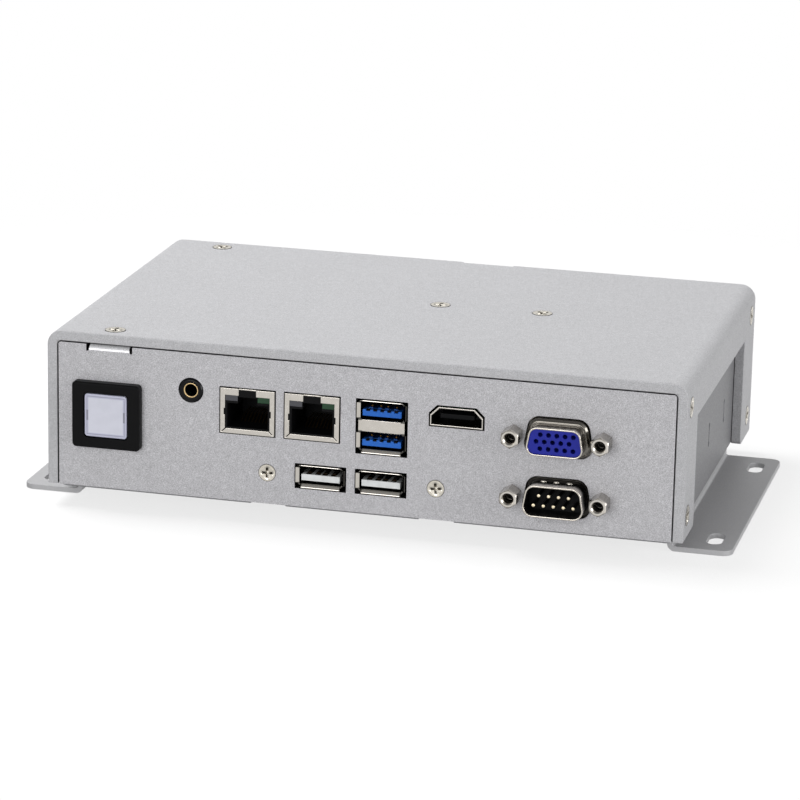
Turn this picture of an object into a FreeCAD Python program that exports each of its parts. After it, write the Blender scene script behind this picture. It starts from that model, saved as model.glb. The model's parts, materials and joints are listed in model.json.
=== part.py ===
import FreeCAD, Part
import math
import os

# Fanless industrial pc: an inverted channel cover over a folded base pan, flat front and rear
# panels, two mounting brackets, two stacked boards and a row of panel connectors.
# Frame: +Z up, the front faces -Y, the brackets stand on Z = 0, and the middle of the cover is
# at X = Y = 0. All sizes are in millimetres.

# ------------------------------------------------------------------------------ cover
COVER_W = 182.4
COVER_D = 114.0
COVER_H = 45.0
COVER_T = 3.0
COVER_BEND_R = 4.3           # outside radius of the two long bends
STAND_H = 6.3                # from the mounting surface to the bottom edge of the cover
LEG_FRONT = 16.4             # width of the leg in front of each side window
LEG_REAR = 16.6
LEG_CORNER_R = 1.5
WINDOW_H = 31.9
NOTCH_W = 15.3               # shallow notch in the rear edge of the top
NOTCH_D = 1.0
NOTCH_X = 9.5

# ------------------------------------------------------------------------------ base pan
PAN_T = 1.2
PAN_BEND_R = 0.6             # inside radius
PAN_DROP = 0.8               # the pan shows this much below the cover
PAN_WALL_CLEAR = 1.8         # from the top of the pan's walls to the underside of the cover
SLIT_W = 0.9                 # upright slits in the side walls, with a round eye at each end
SLIT_H = 5.5
SLIT_EYE_R = 0.8
SLIT_Z = 14.7                # centre above the bottom edge of the cover
SLIT_Y = (-0.7, 24.8)
UPSTAND_W = 8.0              # tabs at the front and rear edges that hold the panels
UPSTAND_OVER = 3.6           # height above the middle of the panel screw
UPSTAND_RELIEF = 1.0         # width of the cut on each side of a tab

# ------------------------------------------------------------------------------ panels
PANEL_T = 1.5
PANEL_GAP = 0.25             # line of shadow between the cover and each panel
PANEL_CORNER_R = 0.8
TAB_INSET = 18.2             # middle of the top tab from the left face of the cover
TAB_W = 12.1
TAB_L = 11.0                 # reach of the tab behind the outer face of the panel
TAB_BEND_R = 0.3
TAB_RELIEF = 0.7
TAB_DROP = 0.4               # from the underside of the cover to the tab
TAB_BOSS_R = 3.6             # raised ring round the screw, up to the cover
TAB_SCREW_INSET = 5.7
PANEL_SCREW_X = (-26.7, 21.7)
PANEL_SCREW_Z = 9.0

# ------------------------------------------------------------------------------ brackets
BRACKET_T = 1.5
BRACKET_BEND_R = 0.7         # inside radius
BRACKET_L = 90.7
BRACKET_REACH = 11.7         # flange beyond the side of the cover
BRACKET_CORNER_R = 3.0
WEB_INSET = 4.8              # from the side of the cover to the outer face of the web
SEAT_W = 15.0                # upper flange, measured from the outer face of the web
SEAT_SCREW_PITCH = 60.0
SLOT_W = 4.4
SLOT_L = 9.8
SLOT_OUT = 5.65              # middle of a slot from the side of the cover
SLOT_PITCH = 70.2

# ------------------------------------------------------------------------------ fasteners
SCREW_R = 1.5
SCREW_GAP = 0.2              # round the shank in a plain hole
THREAD_GAP = 0.05            # round the shank in a nut or a tapped hole
CSK_HEAD_R = 3.0
CSK_HEAD_H = 1.5
CSK_GAP = 0.1
CSK_LENGTH = 6.5
FLAT_HEAD_R = 2.5            # smaller countersunk head of the panel screws
FLAT_HEAD_H = 1.0
FLAT_LENGTH = 5.5
PAN_HEAD_R = 2.65
PAN_HEAD_H = 1.7
PAN_HEAD_EDGE = 0.7          # bevel round the top of the head
PAN_SCREW_LENGTH = 5.0       # below the head
NUT_AF = 5.0
NUT_H = 2.0
SIDE_SCREW_INSET = 6.0       # from the front and rear faces
SIDE_SCREW_Z = (6.3, 37.1)
STANDOFF_AF = 5.0
BOARD_SCREW_AF = 4.8
BOARD_SCREW_HEAD = 1.6
BOARD_SCREW_LENGTH = 5.0

# ------------------------------------------------------------------------------ boards
BOARD_T = 1.6
BOARD_SETBACK = 3.5          # front edge of both boards behind the front face
BOARD_SIDE_GAP = 6.0         # from the right edge of the main board to the wall of the pan
BOARD_REAR_GAP = 7.0         # from the rear edge of the main board to the rear panel
SWITCH_ROOM = 22.0           # left of the main board, for the switch and the power inlet
MAIN_Z = 32.65               # underside above the bottom edge of the cover
MAIN_HOLE_EDGE = 4.0
PORT_BOARD_W = 101.0
PORT_BOARD_D = 60.0
PORT_BOARD_X = 22.5
PORT_BOARD_Z = 12.3
PORT_HOLE_EDGE = 3.5
PORT_HOLE_FRONT = 16.5       # front holes behind the front edge of the board

# ------------------------------------------------------------------------------ heat path
HEAT_X = 22.3
HEAT_Y = 4.8
HEAT_SCREW_PITCH = 30.2
HEAT_W = 42.0
HEAT_D = 32.0
CPU_W = 30.0
CPU_D = 28.0
CPU_H = 1.4
PAD_T = 0.5
HEAT_SCREW_LENGTH = 7.0

# ------------------------------------------------------------------------------ inner pieces
DIMM_INSET = 29.0            # middle of the module from the left edge of the board
DIMM_Y = -2.0
DIMM_L = 69.6
DIMM_W = 30.0
DIMM_T = 1.2
DIMM_LIFT = 2.6
SOCKET_W = 7.0
SOCKET_H = 5.2
CARD_INSET = 33.0            # middle of the card from the right edge of the port board
CARD_Y = -17.0
CARD_W = 22.0
CARD_L = 42.0
CARD_T = 1.0
CARD_LIFT = 1.2
CARD_SOCKET_H = 2.8
CARD_SOCKET_D = 5.0
CELL_R = 10.0
CELL_T = 3.2
CELL_INSET_X = 25.0          # from the left edge of the board
CELL_INSET_Y = 18.5          # from its rear edge
CELL_HOLDER_WALL = 1.3
CELL_HOLDER_FLOOR = 1.0
CELL_GAP = 0.2
LINK_INSET = 20.0            # middle of the link from the left edge of the port board
LINK_Y = -2.0
LINK_W = 30.0
LINK_D = 5.0

# ------------------------------------------------------------------------------ ports, common
PORT_GAP = 0.3               # between a connector and the edge of its cut-out
PORT_PROUD = 0.3             # connector faces in front of the panel

RJ45_X = (-32.55, -13.93)
RJ45_W = 15.7
RJ45_H = 13.0
RJ45_D = 21.0
RJ45_WALL = 0.4
RJ45_RIM = 1.4               # width of the shield's front rim at the sides and bottom
RJ45_FLAP_H = 2.0            # depth of the two upper flaps
RJ45_MITRE = 0.25            # slit across each lower corner of the rim
RJ45_TOOTH = 0.35            # notches in the inner edge of the rim
RJ45_TOOTH_H = 1.9
RJ45_NOTCH_W = 5.0           # space between the flaps
RJ45_CAVITY_W = 11.8
RJ45_CAVITY_H = 6.9
RJ45_CAVITY_D = 15.0
RJ45_LATCH_W = 5.6
RJ45_LATCH_H = 1.9
RJ45_FLOOR = 1.8             # plastic under the cavity
LAMP_W = 3.7
LAMP_H = 1.7
LAMP_D = 8.0
LAMP_EDGE = 1.3              # from the side of the shield
CONTACT_T = 0.35
CONTACT_START = 6.0          # behind the front of the plastic
CONTACT_SLOPE = math.radians(25.0)
CONTACT_RISE = 1.8
CONTACT_PITCH = 1.02
CONTACT_COUNT = 8

USB_W = 13.2
USB_WALL = 0.3
USB_CORNER = 0.65
USB_MOUTH_H = 5.2
USB_BAND = 3.4               # metal between the two stacked mouths
USB_DEPTH = 17.5
USB_LIP = 0.5                # reach of the flared lips at the sides
USB_SILL = 0.85              # reach of the flared lip at the bottom
USB_LIP_H = 4.4
USB_SILL_W = 11.4
USB_FLARE_D = 0.9            # depth over which a lip bends outwards
USB_TONGUE_W = 11.1
USB_TONGUE_T = 1.84
USB_TONGUE_LIFT = 0.95       # above the floor of the mouth
USB_TONGUE_SET = 0.6         # tip behind the mouth
USB_BACK = 6.0               # plastic block at the rear of the mouth
USB_PIN_W = 1.0
USB_PIN_T = 0.3
USB_PIN_X = (-3.5, -1.0, 1.0, 3.5)
USB_NOTCH_X = (-4.0, -2.0, 0.0, 2.0, 4.0)
USB_NOTCH_W = 1.1
USB_NOTCH_T = 0.45
USB_NOTCH_D = 1.6
USB3_X = 6.0
USB2_X = (-11.3, 6.0)

HDMI_X = 27.2
HDMI_W = 14.9
HDMI_H = 5.4
HDMI_GAP = 0.4
HDMI_D = 12.0
HDMI_CORNER = 2.3
HDMI_WALL = 0.35
HDMI_TONGUE_W = 9.6
HDMI_TONGUE_T = 1.3
HDMI_TONGUE_SET = 1.2
HDMI_BACK = 4.0

# ------------------------------------------------------------------------------ D connectors
DSUB_X = 55.8
VGA_Z = 26.94
SERIAL_Z = 9.83
DSUB_SLANT = math.radians(10.0)
DSUB_CUT_W = 18.4            # panel cut-out, width at middle height
DSUB_CUT_H = 11.2
DSUB_CUT_R = 3.4
DSUB_PLATE_W = 30.8
DSUB_PLATE_H = 12.5
DSUB_PLATE_T = 0.6
DSUB_PLATE_R = 1.0
DSUB_SCREW_PITCH = 24.99
DSUB_BODY_W = 19.0
DSUB_BODY_D = 9.0
DSUB_BODY_H = 7.5
VGA_BASE_W = 17.6
VGA_BASE_H = 10.4
VGA_BASE_R = 3.2
VGA_BASE_PROUD = 1.3
VGA_BASE_EDGE = 0.65         # bevel round the front of the base
VGA_SHELL_W = 15.3
VGA_SHELL_H = 8.1
VGA_SHELL_R = 2.5
DSUB_WALL = 0.5
VGA_PROUD = 5.9
VGA_PITCH = 2.29
VGA_ROW = 1.98
VGA_STAGGER = 0.57
VGA_HOLE_R = 0.65
VGA_HOLE_D = 4.0
SERIAL_SHELL_W = 16.5
SERIAL_SHELL_H = 9.1
SERIAL_SHELL_R = 2.9
SERIAL_PROUD = 5.6
SERIAL_FLOOR = 1.0           # insert face behind the front face of the panel
SERIAL_PITCH = 2.77
SERIAL_ROW = 1.42
SERIAL_PIN_R = 0.5
SERIAL_PIN_PROUD = 4.5
JACK_AF = 4.8
JACK_L = 5.8
JACK_BORE_R = 1.35
JACK_BORE_D = 4.5
JACK_STUD_R = 1.4
JACK_STUD_L = 5.0

# ------------------------------------------------------------------------------ audio jack
AUDIO_X = -49.0
AUDIO_Z = 30.95
AUDIO_R = 3.5
AUDIO_BORE_R = 1.8
AUDIO_BORE_D = 12.0
AUDIO_BODY_W = 8.4
AUDIO_BODY_H = 5.4
AUDIO_BODY_D = 12.5
AUDIO_EDGE = 0.5             # bevel round the front of the barrel
AUDIO_RING_R = 2.15
AUDIO_RING_D = 0.9
AUDIO_RING_SET = 0.3         # ring behind the face of the barrel
AUDIO_GAP = 0.1

# ------------------------------------------------------------------------------ power switch
SWITCH_INSET = 17.95         # middle of the switch from the left face of the cover
SWITCH_Z = 21.8
BEZEL_W = 19.9
BEZEL_H = 19.1
BEZEL_PROUD = 2.6
BEZEL_CORNER_R = 1.2
BEZEL_EDGE = 0.35            # chamfer round the front
CAP_W = 12.45
CAP_SLIDE = 0.3
CAP_CORNER_R = 0.9
CAP_RECESS = 0.2             # cap face behind the face of the bezel
CAP_WALL = 0.9
CAP_FRONT_T = 1.0
CAP_D = 6.5
CAP_SKIRT = 0.9              # outward skirt that stops the cap from coming out
CAP_SKIRT_L = 1.2
DIFFUSER_T = 1.2
DIFFUSER_GAP = 0.15
PLUNGER_W = 5.0
PLUNGER_L = 9.0
BUTTON_TRAVEL = 2.0
STOP_GAP = 0.3
SLEEVE_WALL = 1.0
SLEEVE_D = 12.0
SWITCH_CUT_GAP = 0.15
SWITCH_BODY_D = 9.0
TERMINAL_W = 2.0
TERMINAL_T = 0.6
TERMINAL_L = 5.0
TERMINAL_PITCH = 5.0

# ------------------------------------------------------------------------------ power inlet
INLET_INSET = 19.0           # middle from the left face of the cover
INLET_Z = 22.0
INLET_R = 5.0
INLET_BORE_R = 3.1
INLET_PIN_R = 1.0
INLET_PROUD = 5.6
INLET_PIN_SET = 1.0
INLET_BODY_W = 13.0
INLET_BODY_D = 12.0
INLET_NUT_AF = 14.0
INLET_NUT_T = 2.4
INLET_BORE_D = 13.0

# ------------------------------------------------------------------------------ derived places
FRONT_Y = -COVER_D / 2
REAR_Y = COVER_D / 2
SIDE_X = COVER_W / 2
INNER_X = SIDE_X - COVER_T
EDGE_Z = STAND_H
TOP_Z = STAND_H + COVER_H
ROOF_Z = TOP_Z - COVER_T
PAN_Z = STAND_H - PAN_DROP
FLOOR_Z = PAN_Z + PAN_T
WALL_X = INNER_X - PAN_T
BOARD_FRONT_Y = FRONT_Y + BOARD_SETBACK
MAIN_LEFT = SWITCH_ROOM - WALL_X
MAIN_RIGHT = WALL_X - BOARD_SIDE_GAP
MAIN_D = COVER_D - BOARD_SETBACK - BOARD_REAR_GAP - PANEL_T
PORT_LEFT = PORT_BOARD_X - PORT_BOARD_W / 2
PORT_RIGHT = PORT_BOARD_X + PORT_BOARD_W / 2
CARD_X = PORT_RIGHT - CARD_INSET
LINK_X = PORT_LEFT + LINK_INSET
DIMM_X = MAIN_LEFT + DIMM_INSET
CELL_X = MAIN_LEFT + CELL_INSET_X
CELL_Y = BOARD_FRONT_Y + MAIN_D - CELL_INSET_Y
MAIN_UNDER = EDGE_Z + MAIN_Z
PORT_UNDER = EDGE_Z + PORT_BOARD_Z
PORT_FACE_Y = FRONT_Y - PORT_PROUD
PANEL_BACK_Y = FRONT_Y + PANEL_T
TAB_X = TAB_INSET - SIDE_X
SWITCH_X = SWITCH_INSET - SIDE_X
INLET_X = INLET_INSET - SIDE_X
USB3_H = 2 * USB_MOUTH_H + USB_BAND + 2 * USB_WALL
USB2_H = USB_MOUTH_H + 2 * USB_WALL
TINY = 1e-6                  # two places nearer than this are the same place


# ============================================================================== geometry tools
def point(u, v, axis, level):
    """Point of a section that lies square to an axis: (u, v) are its other two coordinates."""
    x, y, z = {"x": (level, u, v), "y": (u, level, v), "z": (u, v, level)}[axis]
    return FreeCAD.Vector(x, y, z)


def corner_arc(before, corner, after):
    """Start, middle and end of the arc that rounds a corner (u, v, radius)."""
    u, v, radius = corner
    if not radius:
        return (u, v), None, (u, v)
    a = math.atan2(before[1] - v, before[0] - u)
    b = math.atan2(after[1] - v, after[0] - u)
    half = math.acos(math.cos(a - b)) / 2
    reach = radius / math.tan(half)
    bisector = math.atan2(math.sin(a) + math.sin(b), math.cos(a) + math.cos(b))
    inward = radius / math.sin(half) - radius
    start = (u + reach * math.cos(a), v + reach * math.sin(a))
    end = (u + reach * math.cos(b), v + reach * math.sin(b))
    middle = (u + inward * math.cos(bisector), v + inward * math.sin(bisector))
    return start, middle, end


def outline(corners, axis, level):
    """Flat face with straight sides and rounded corners; a corner is (u, v) or (u, v, radius)."""
    ring = [c if len(c) == 3 else (*c, 0) for c in corners]
    count = len(ring)
    arcs = [corner_arc(ring[i - 1], ring[i], ring[(i + 1) % count]) for i in range(count)]
    edges = []
    for i, (start, middle, end) in enumerate(arcs):
        if middle:
            three = [point(*p, axis, level) for p in (start, middle, end)]
            edges.append(Part.Arc(*three).toShape())
        following = arcs[(i + 1) % count][0]
        if math.dist(end, following) > TINY:
            edges.append(Part.makeLine(point(*end, axis, level), point(*following, axis, level)))
    return Part.Face(Part.Wire(edges))


def prism(corners, axis, start, end):
    """Outline pushed along an axis from one level to another."""
    low, high = min(start, end), max(start, end)
    return outline(corners, axis, low).extrude(point(0, 0, axis, high - low))


def rectangle(u, v, width, height, radius=0.0):
    """Corners of a rectangle about its centre."""
    right, top = width / 2, height / 2
    return [(u - right, v - top, radius), (u + right, v - top, radius),
            (u + right, v + top, radius), (u - right, v + top, radius)]


def box(x0, x1, y0, y1, z0, z1):
    """Block between two corners."""
    return Part.makeBox(x1 - x0, y1 - y0, z1 - z0, FreeCAD.Vector(x0, y0, z0))


def rod(axis, u, v, radius, start, end):
    """Cylinder along an axis from one level to another."""
    low, high = min(start, end), max(start, end)
    return Part.makeCylinder(radius, high - low, point(u, v, axis, low), point(0, 0, axis, 1))


def cone(axis, u, v, r_start, r_end, start, end):
    """Cone frustum along an axis; each radius belongs to its own level."""
    direction = point(0, 0, axis, 1 if end > start else -1)
    return Part.makeCone(r_start, r_end, abs(end - start), point(u, v, axis, start), direction)


def hexagon(u, v, across_flats):
    """Corners of a hexagon with two upright flats."""
    radius = across_flats / math.sqrt(3)
    angles = [math.radians(30 + 60 * i) for i in range(6)]
    return [(u + radius * math.cos(a), v + radius * math.sin(a)) for a in angles]


def joined(shapes):
    """One solid from pieces that meet."""
    return shapes[0].fuse(shapes[1:]).removeSplitter()


def group(shapes):
    """Several separate solids kept in one node."""
    return Part.Compound(shapes)


def mirrored(shape):
    """The same shape on the other side of the middle plane X = 0."""
    return shape.mirror(FreeCAD.Vector(0, 0, 0), FreeCAD.Vector(1, 0, 0))


# ============================================================================== fasteners
def csk_cut(axis, u, v, face, inward, head_r=CSK_HEAD_R):
    """Countersunk hole right through a sheet; inward is +1 or -1 along the axis."""
    wide = head_r + CSK_GAP
    narrow = SCREW_R + SCREW_GAP
    depth = wide - narrow
    cut = cone(axis, u, v, wide, narrow, face, face + inward * depth)
    return cut.fuse(rod(axis, u, v, narrow, face, face + inward * CSK_LENGTH))


def csk_screw(axis, u, v, face, inward, length=CSK_LENGTH, head_r=CSK_HEAD_R,
              head_h=CSK_HEAD_H):
    """Countersunk screw with its head flush with the face."""
    head = cone(axis, u, v, head_r, SCREW_R, face, face + inward * head_h)
    shank = rod(axis, u, v, SCREW_R, face + inward * head_h, face + inward * length)
    return joined([head, shank])


def pan_screw(axis, u, v, face, inward):
    """Screw with a bevelled head standing on the face."""
    shoulder = face - inward * (PAN_HEAD_H - PAN_HEAD_EDGE)
    head = rod(axis, u, v, PAN_HEAD_R, face, shoulder)
    bevel = cone(axis, u, v, PAN_HEAD_R, PAN_HEAD_R - PAN_HEAD_EDGE, shoulder,
                 face - inward * PAN_HEAD_H)
    shank = rod(axis, u, v, SCREW_R, face, face + inward * PAN_SCREW_LENGTH)
    return joined([head, bevel, shank])


def hex_screw(u, v, face):
    """Screw with a low hexagonal head standing on a board, pointing down."""
    head = prism(hexagon(u, v, BOARD_SCREW_AF), "z", face, face + BOARD_SCREW_HEAD)
    return joined([head, rod("z", u, v, SCREW_R, face - BOARD_SCREW_LENGTH, face)])


def nut(axis, u, v, start, end):
    """Hexagonal nut pressed onto a sheet."""
    blank = prism(hexagon(u, v, NUT_AF), axis, start, end)
    return blank.cut(rod(axis, u, v, SCREW_R + THREAD_GAP, start, end))


def hole(axis, u, v, start, end):
    """Clearance hole for a screw."""
    return rod(axis, u, v, SCREW_R + SCREW_GAP, start, end)


# ============================================================================== places
def side_screw_places():
    """(y, z) of the screws in each side of the cover."""
    ends = (FRONT_Y + SIDE_SCREW_INSET, REAR_Y - SIDE_SCREW_INSET)
    return [(y, EDGE_Z + z) for y in ends for z in SIDE_SCREW_Z]


def tab_screw_places():
    """(x, y) of the screws over the front and rear tabs."""
    return [(TAB_X, FRONT_Y + TAB_SCREW_INSET), (TAB_X, REAR_Y - TAB_SCREW_INSET)]


def heat_screw_places():
    """(x, y) of the screws into the heat block."""
    return [(HEAT_X + side * HEAT_SCREW_PITCH / 2, HEAT_Y) for side in (-1, 1)]


def seat_screw_places():
    """(x, y) of the screws through both brackets' upper flanges."""
    x = SIDE_X - WEB_INSET - SEAT_W / 2 - BRACKET_T / 2
    return [(side * x, end * SEAT_SCREW_PITCH / 2) for side in (-1, 1) for end in (-1, 1)]


def main_hole_places():
    """(x, y) of the four corner holes of the main board."""
    xs = (MAIN_LEFT + MAIN_HOLE_EDGE, MAIN_RIGHT - MAIN_HOLE_EDGE)
    ys = (BOARD_FRONT_Y + MAIN_HOLE_EDGE, BOARD_FRONT_Y + MAIN_D - MAIN_HOLE_EDGE)
    return [(x, y) for x in xs for y in ys]


def port_hole_places():
    """(x, y) of the four holes of the port board."""
    xs = (PORT_LEFT + PORT_HOLE_EDGE, PORT_RIGHT - PORT_HOLE_EDGE)
    ys = (BOARD_FRONT_Y + PORT_HOLE_FRONT, BOARD_FRONT_Y + PORT_BOARD_D - PORT_HOLE_EDGE)
    return [(x, y) for x in xs for y in ys]


def jackscrew_places():
    """(x, z) of the four hex jackscrews."""
    xs = [DSUB_X + side * DSUB_SCREW_PITCH / 2 for side in (-1, 1)]
    return [(x, EDGE_Z + z) for x in xs for z in (VGA_Z, SERIAL_Z)]


# ============================================================================== cover
def cover_section():
    """Inverted channel with two long bends."""
    inner_r = COVER_BEND_R - COVER_T
    return [(-SIDE_X, EDGE_Z), (-SIDE_X, TOP_Z, COVER_BEND_R), (SIDE_X, TOP_Z, COVER_BEND_R),
            (SIDE_X, EDGE_Z), (INNER_X, EDGE_Z), (INNER_X, ROOF_Z, inner_r),
            (-INNER_X, ROOF_Z, inner_r), (-INNER_X, EDGE_Z)]


def window_cut():
    """Window in both sides, open at the bottom, with eased lower corners on the legs."""
    y0, y1 = FRONT_Y + LEG_FRONT, REAR_Y - LEG_REAR
    under = EDGE_Z - COVER_T
    corners = [(y0 - LEG_CORNER_R, under), (y1 + LEG_CORNER_R, under),
               (y1 + LEG_CORNER_R, EDGE_Z), (y1, EDGE_Z, LEG_CORNER_R), (y1, EDGE_Z + WINDOW_H),
               (y0, EDGE_Z + WINDOW_H), (y0, EDGE_Z, LEG_CORNER_R), (y0 - LEG_CORNER_R, EDGE_Z)]
    return prism(corners, "x", -SIDE_X, SIDE_X)


def top_cover():
    """Cover with side windows, rear notch and countersunk holes."""
    cuts = [window_cut(),
            box(NOTCH_X - NOTCH_W / 2, NOTCH_X + NOTCH_W / 2, REAR_Y - NOTCH_D, REAR_Y,
                ROOF_Z, TOP_Z)]
    cuts += [csk_cut("z", x, y, TOP_Z, -1) for x, y in tab_screw_places() + heat_screw_places()]
    for y, z in side_screw_places():
        cuts += [csk_cut("x", y, z, SIDE_X, -1), csk_cut("x", y, z, -SIDE_X, 1)]
    return prism(cover_section(), "y", FRONT_Y, REAR_Y).cut(cuts)


# ============================================================================== base pan
def pan_section():
    """Channel with its walls against the inside of the cover."""
    top = ROOF_Z - PAN_WALL_CLEAR
    outer_r = PAN_BEND_R + PAN_T
    return [(-INNER_X, top), (-INNER_X, PAN_Z, outer_r), (INNER_X, PAN_Z, outer_r),
            (INNER_X, top), (WALL_X, top), (WALL_X, FLOOR_Z, PAN_BEND_R),
            (-WALL_X, FLOOR_Z, PAN_BEND_R), (-WALL_X, top)]


def slit(y, z):
    """Upright slit with an eye at each end, through both side walls."""
    narrow = prism(rectangle(y, z, SLIT_W, SLIT_H), "x", -INNER_X, INNER_X)
    eyes = [rod("x", y, z + end * SLIT_H / 2, SLIT_EYE_R, -INNER_X, INNER_X) for end in (-1, 1)]
    return joined([narrow, *eyes])


def upstand(x, back_y, inward):
    """Tab bent up from the floor so that its outer face lies on the back of a panel."""
    outer_r = PAN_BEND_R + PAN_T
    top = EDGE_Z + PANEL_SCREW_Z + UPSTAND_OVER
    inside = back_y + inward * PAN_T
    reach = back_y + inward * (outer_r + PAN_T)
    corners = [(back_y, top), (back_y, PAN_Z, outer_r), (reach, PAN_Z), (reach, FLOOR_Z),
               (inside, FLOOR_Z, PAN_BEND_R), (inside, top)]
    tab = prism(corners, "x", x - UPSTAND_W / 2, x + UPSTAND_W / 2)
    return tab.cut(hole("y", x, EDGE_Z + PANEL_SCREW_Z, back_y, inside))


def panel_backs():
    """Back planes of the two panels, each with its inward direction."""
    return [(PANEL_BACK_Y, 1), (REAR_Y - PANEL_T, -1)]


def base_pan():
    """Folded pan with upstands, slits and screw holes."""
    pan = prism(pan_section(), "y", PANEL_BACK_Y, REAR_Y - PANEL_T)
    reliefs, tabs = [], []
    for back_y, inward in panel_backs():
        depth = back_y + inward * (PAN_BEND_R + 2 * PAN_T)
        for x in PANEL_SCREW_X:
            half = UPSTAND_W / 2 + UPSTAND_RELIEF
            reliefs.append(box(x - half, x + half, min(back_y, depth), max(back_y, depth),
                               PAN_Z, FLOOR_Z))
            tabs.append(upstand(x, back_y, inward))
    holes = [slit(y, EDGE_Z + SLIT_Z) for y in SLIT_Y]
    holes += [hole("x", y, z, -INNER_X, INNER_X) for y, z in side_screw_places()]
    holes += [hole("z", x, y, PAN_Z, FLOOR_Z) for x, y in seat_screw_places()]
    return joined([pan.cut(reliefs + holes), *tabs])


def clinch_nuts():
    """Nuts pressed into the pan's walls, floor and upstands and into the two top tabs."""
    nuts = []
    for y, z in side_screw_places():
        nuts += [nut("x", y, z, side * WALL_X, side * (WALL_X - NUT_H)) for side in (-1, 1)]
    nuts += [nut("z", x, y, FLOOR_Z, FLOOR_Z + NUT_H) for x, y in seat_screw_places()]
    under_tab = ROOF_Z - TAB_DROP - PANEL_T
    nuts += [nut("z", x, y, under_tab, under_tab - NUT_H) for x, y in tab_screw_places()]
    for back_y, inward in panel_backs():
        face = back_y + inward * PAN_T
        nuts += [nut("y", x, EDGE_Z + PANEL_SCREW_Z, face, face + inward * NUT_H)
                 for x in PANEL_SCREW_X]
    return group(nuts)


# ============================================================================== panels
def blank_panel(outer_y, inward):
    """Flat panel with one tab bent back under the cover."""
    half = INNER_X - PANEL_GAP
    top = ROOF_Z - PANEL_GAP
    back = outer_y + inward * PANEL_T
    plate = prism([(-half, EDGE_Z), (half, EDGE_Z), (half, top, PANEL_CORNER_R),
                   (-half, top, PANEL_CORNER_R)], "y", outer_y, back)
    bend = TAB_BEND_R + PANEL_T
    relief = prism(rectangle(TAB_X, ROOF_Z, TAB_W + 2 * TAB_RELIEF, 2 * (bend + TAB_DROP)),
                   "y", outer_y, back)
    end = outer_y + inward * TAB_L
    level = ROOF_Z - TAB_DROP
    root = level - bend
    tab = prism([(outer_y, root), (outer_y, level, bend), (end, level), (end, level - PANEL_T),
                 (back, level - PANEL_T, TAB_BEND_R), (back, root)],
                "x", TAB_X - TAB_W / 2, TAB_X + TAB_W / 2)
    screw_y = outer_y + inward * TAB_SCREW_INSET
    boss = rod("z", TAB_X, screw_y, TAB_BOSS_R, level, ROOF_Z)
    panel = joined([plate.cut(relief), tab, boss]).cut(hole("z", TAB_X, screw_y, root, ROOF_Z))
    return panel.cut([csk_cut("y", x, EDGE_Z + PANEL_SCREW_Z, outer_y, inward, FLAT_HEAD_R)
                      for x in PANEL_SCREW_X])


def dshape(x, z, width, height, radius):
    """D outline with the wide side down; the width is taken at middle height."""
    lean = height / 2 * math.tan(DSUB_SLANT)
    low, high = z - height / 2, z + height / 2
    return [(x - width / 2 - lean, low, radius), (x + width / 2 + lean, low, radius),
            (x + width / 2 - lean, high, radius), (x - width / 2 + lean, high, radius)]


def hdmi_shape(grow):
    """Six-sided outline with two chamfered upper corners; grow is added all round."""
    left, right = HDMI_X - HDMI_W / 2 - grow, HDMI_X + HDMI_W / 2 + grow
    high = MAIN_UNDER + grow
    low = MAIN_UNDER - HDMI_H - grow
    return [(left, low), (right, low), (right, high - HDMI_CORNER), (right - HDMI_CORNER, high),
            (left + HDMI_CORNER, high), (left, high - HDMI_CORNER)]


def usb_cut(x, top, height):
    """Corners of the cut-out for a USB shell that hangs from a board."""
    width = USB_W + 2 * (USB_LIP + PORT_GAP)
    low = top - height - USB_SILL - PORT_GAP
    return rectangle(x, (top + PORT_GAP + low) / 2, width, top + PORT_GAP - low)


def switch_cut_size():
    """Side of the square panel cut-out for the switch sleeve."""
    return sleeve_size() + 2 * SWITCH_CUT_GAP


def port_cuts():
    """All connector cut-outs of the front panel, as corner lists."""
    rj45_z = MAIN_UNDER - RJ45_H / 2
    cuts = [rectangle(x, rj45_z, RJ45_W + 2 * PORT_GAP, RJ45_H + 2 * PORT_GAP) for x in RJ45_X]
    cuts.append(usb_cut(USB3_X, MAIN_UNDER, USB3_H))
    cuts += [usb_cut(x, PORT_UNDER, USB2_H) for x in USB2_X]
    cuts.append(hdmi_shape(HDMI_GAP))
    cuts += [dshape(DSUB_X, EDGE_Z + z, DSUB_CUT_W, DSUB_CUT_H, DSUB_CUT_R)
             for z in (VGA_Z, SERIAL_Z)]
    cuts.append(rectangle(SWITCH_X, EDGE_Z + SWITCH_Z, switch_cut_size(), switch_cut_size()))
    return cuts


def front_panel():
    """Front panel with every connector's cut-out."""
    cuts = [prism(corners, "y", FRONT_Y, PANEL_BACK_Y) for corners in port_cuts()]
    cuts += [rod("y", x, z, JACK_STUD_R + SCREW_GAP, FRONT_Y, PANEL_BACK_Y)
             for x, z in jackscrew_places()]
    cuts.append(rod("y", AUDIO_X, EDGE_Z + AUDIO_Z, AUDIO_R + AUDIO_GAP, FRONT_Y, PANEL_BACK_Y))
    return blank_panel(FRONT_Y, 1).cut(cuts)


def rear_panel():
    """Rear panel with the hole of the power inlet."""
    cut = rod("y", INLET_X, EDGE_Z + INLET_Z, INLET_R + SCREW_GAP, REAR_Y - PANEL_T, REAR_Y)
    return blank_panel(REAR_Y, -1).cut(cut)


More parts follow.
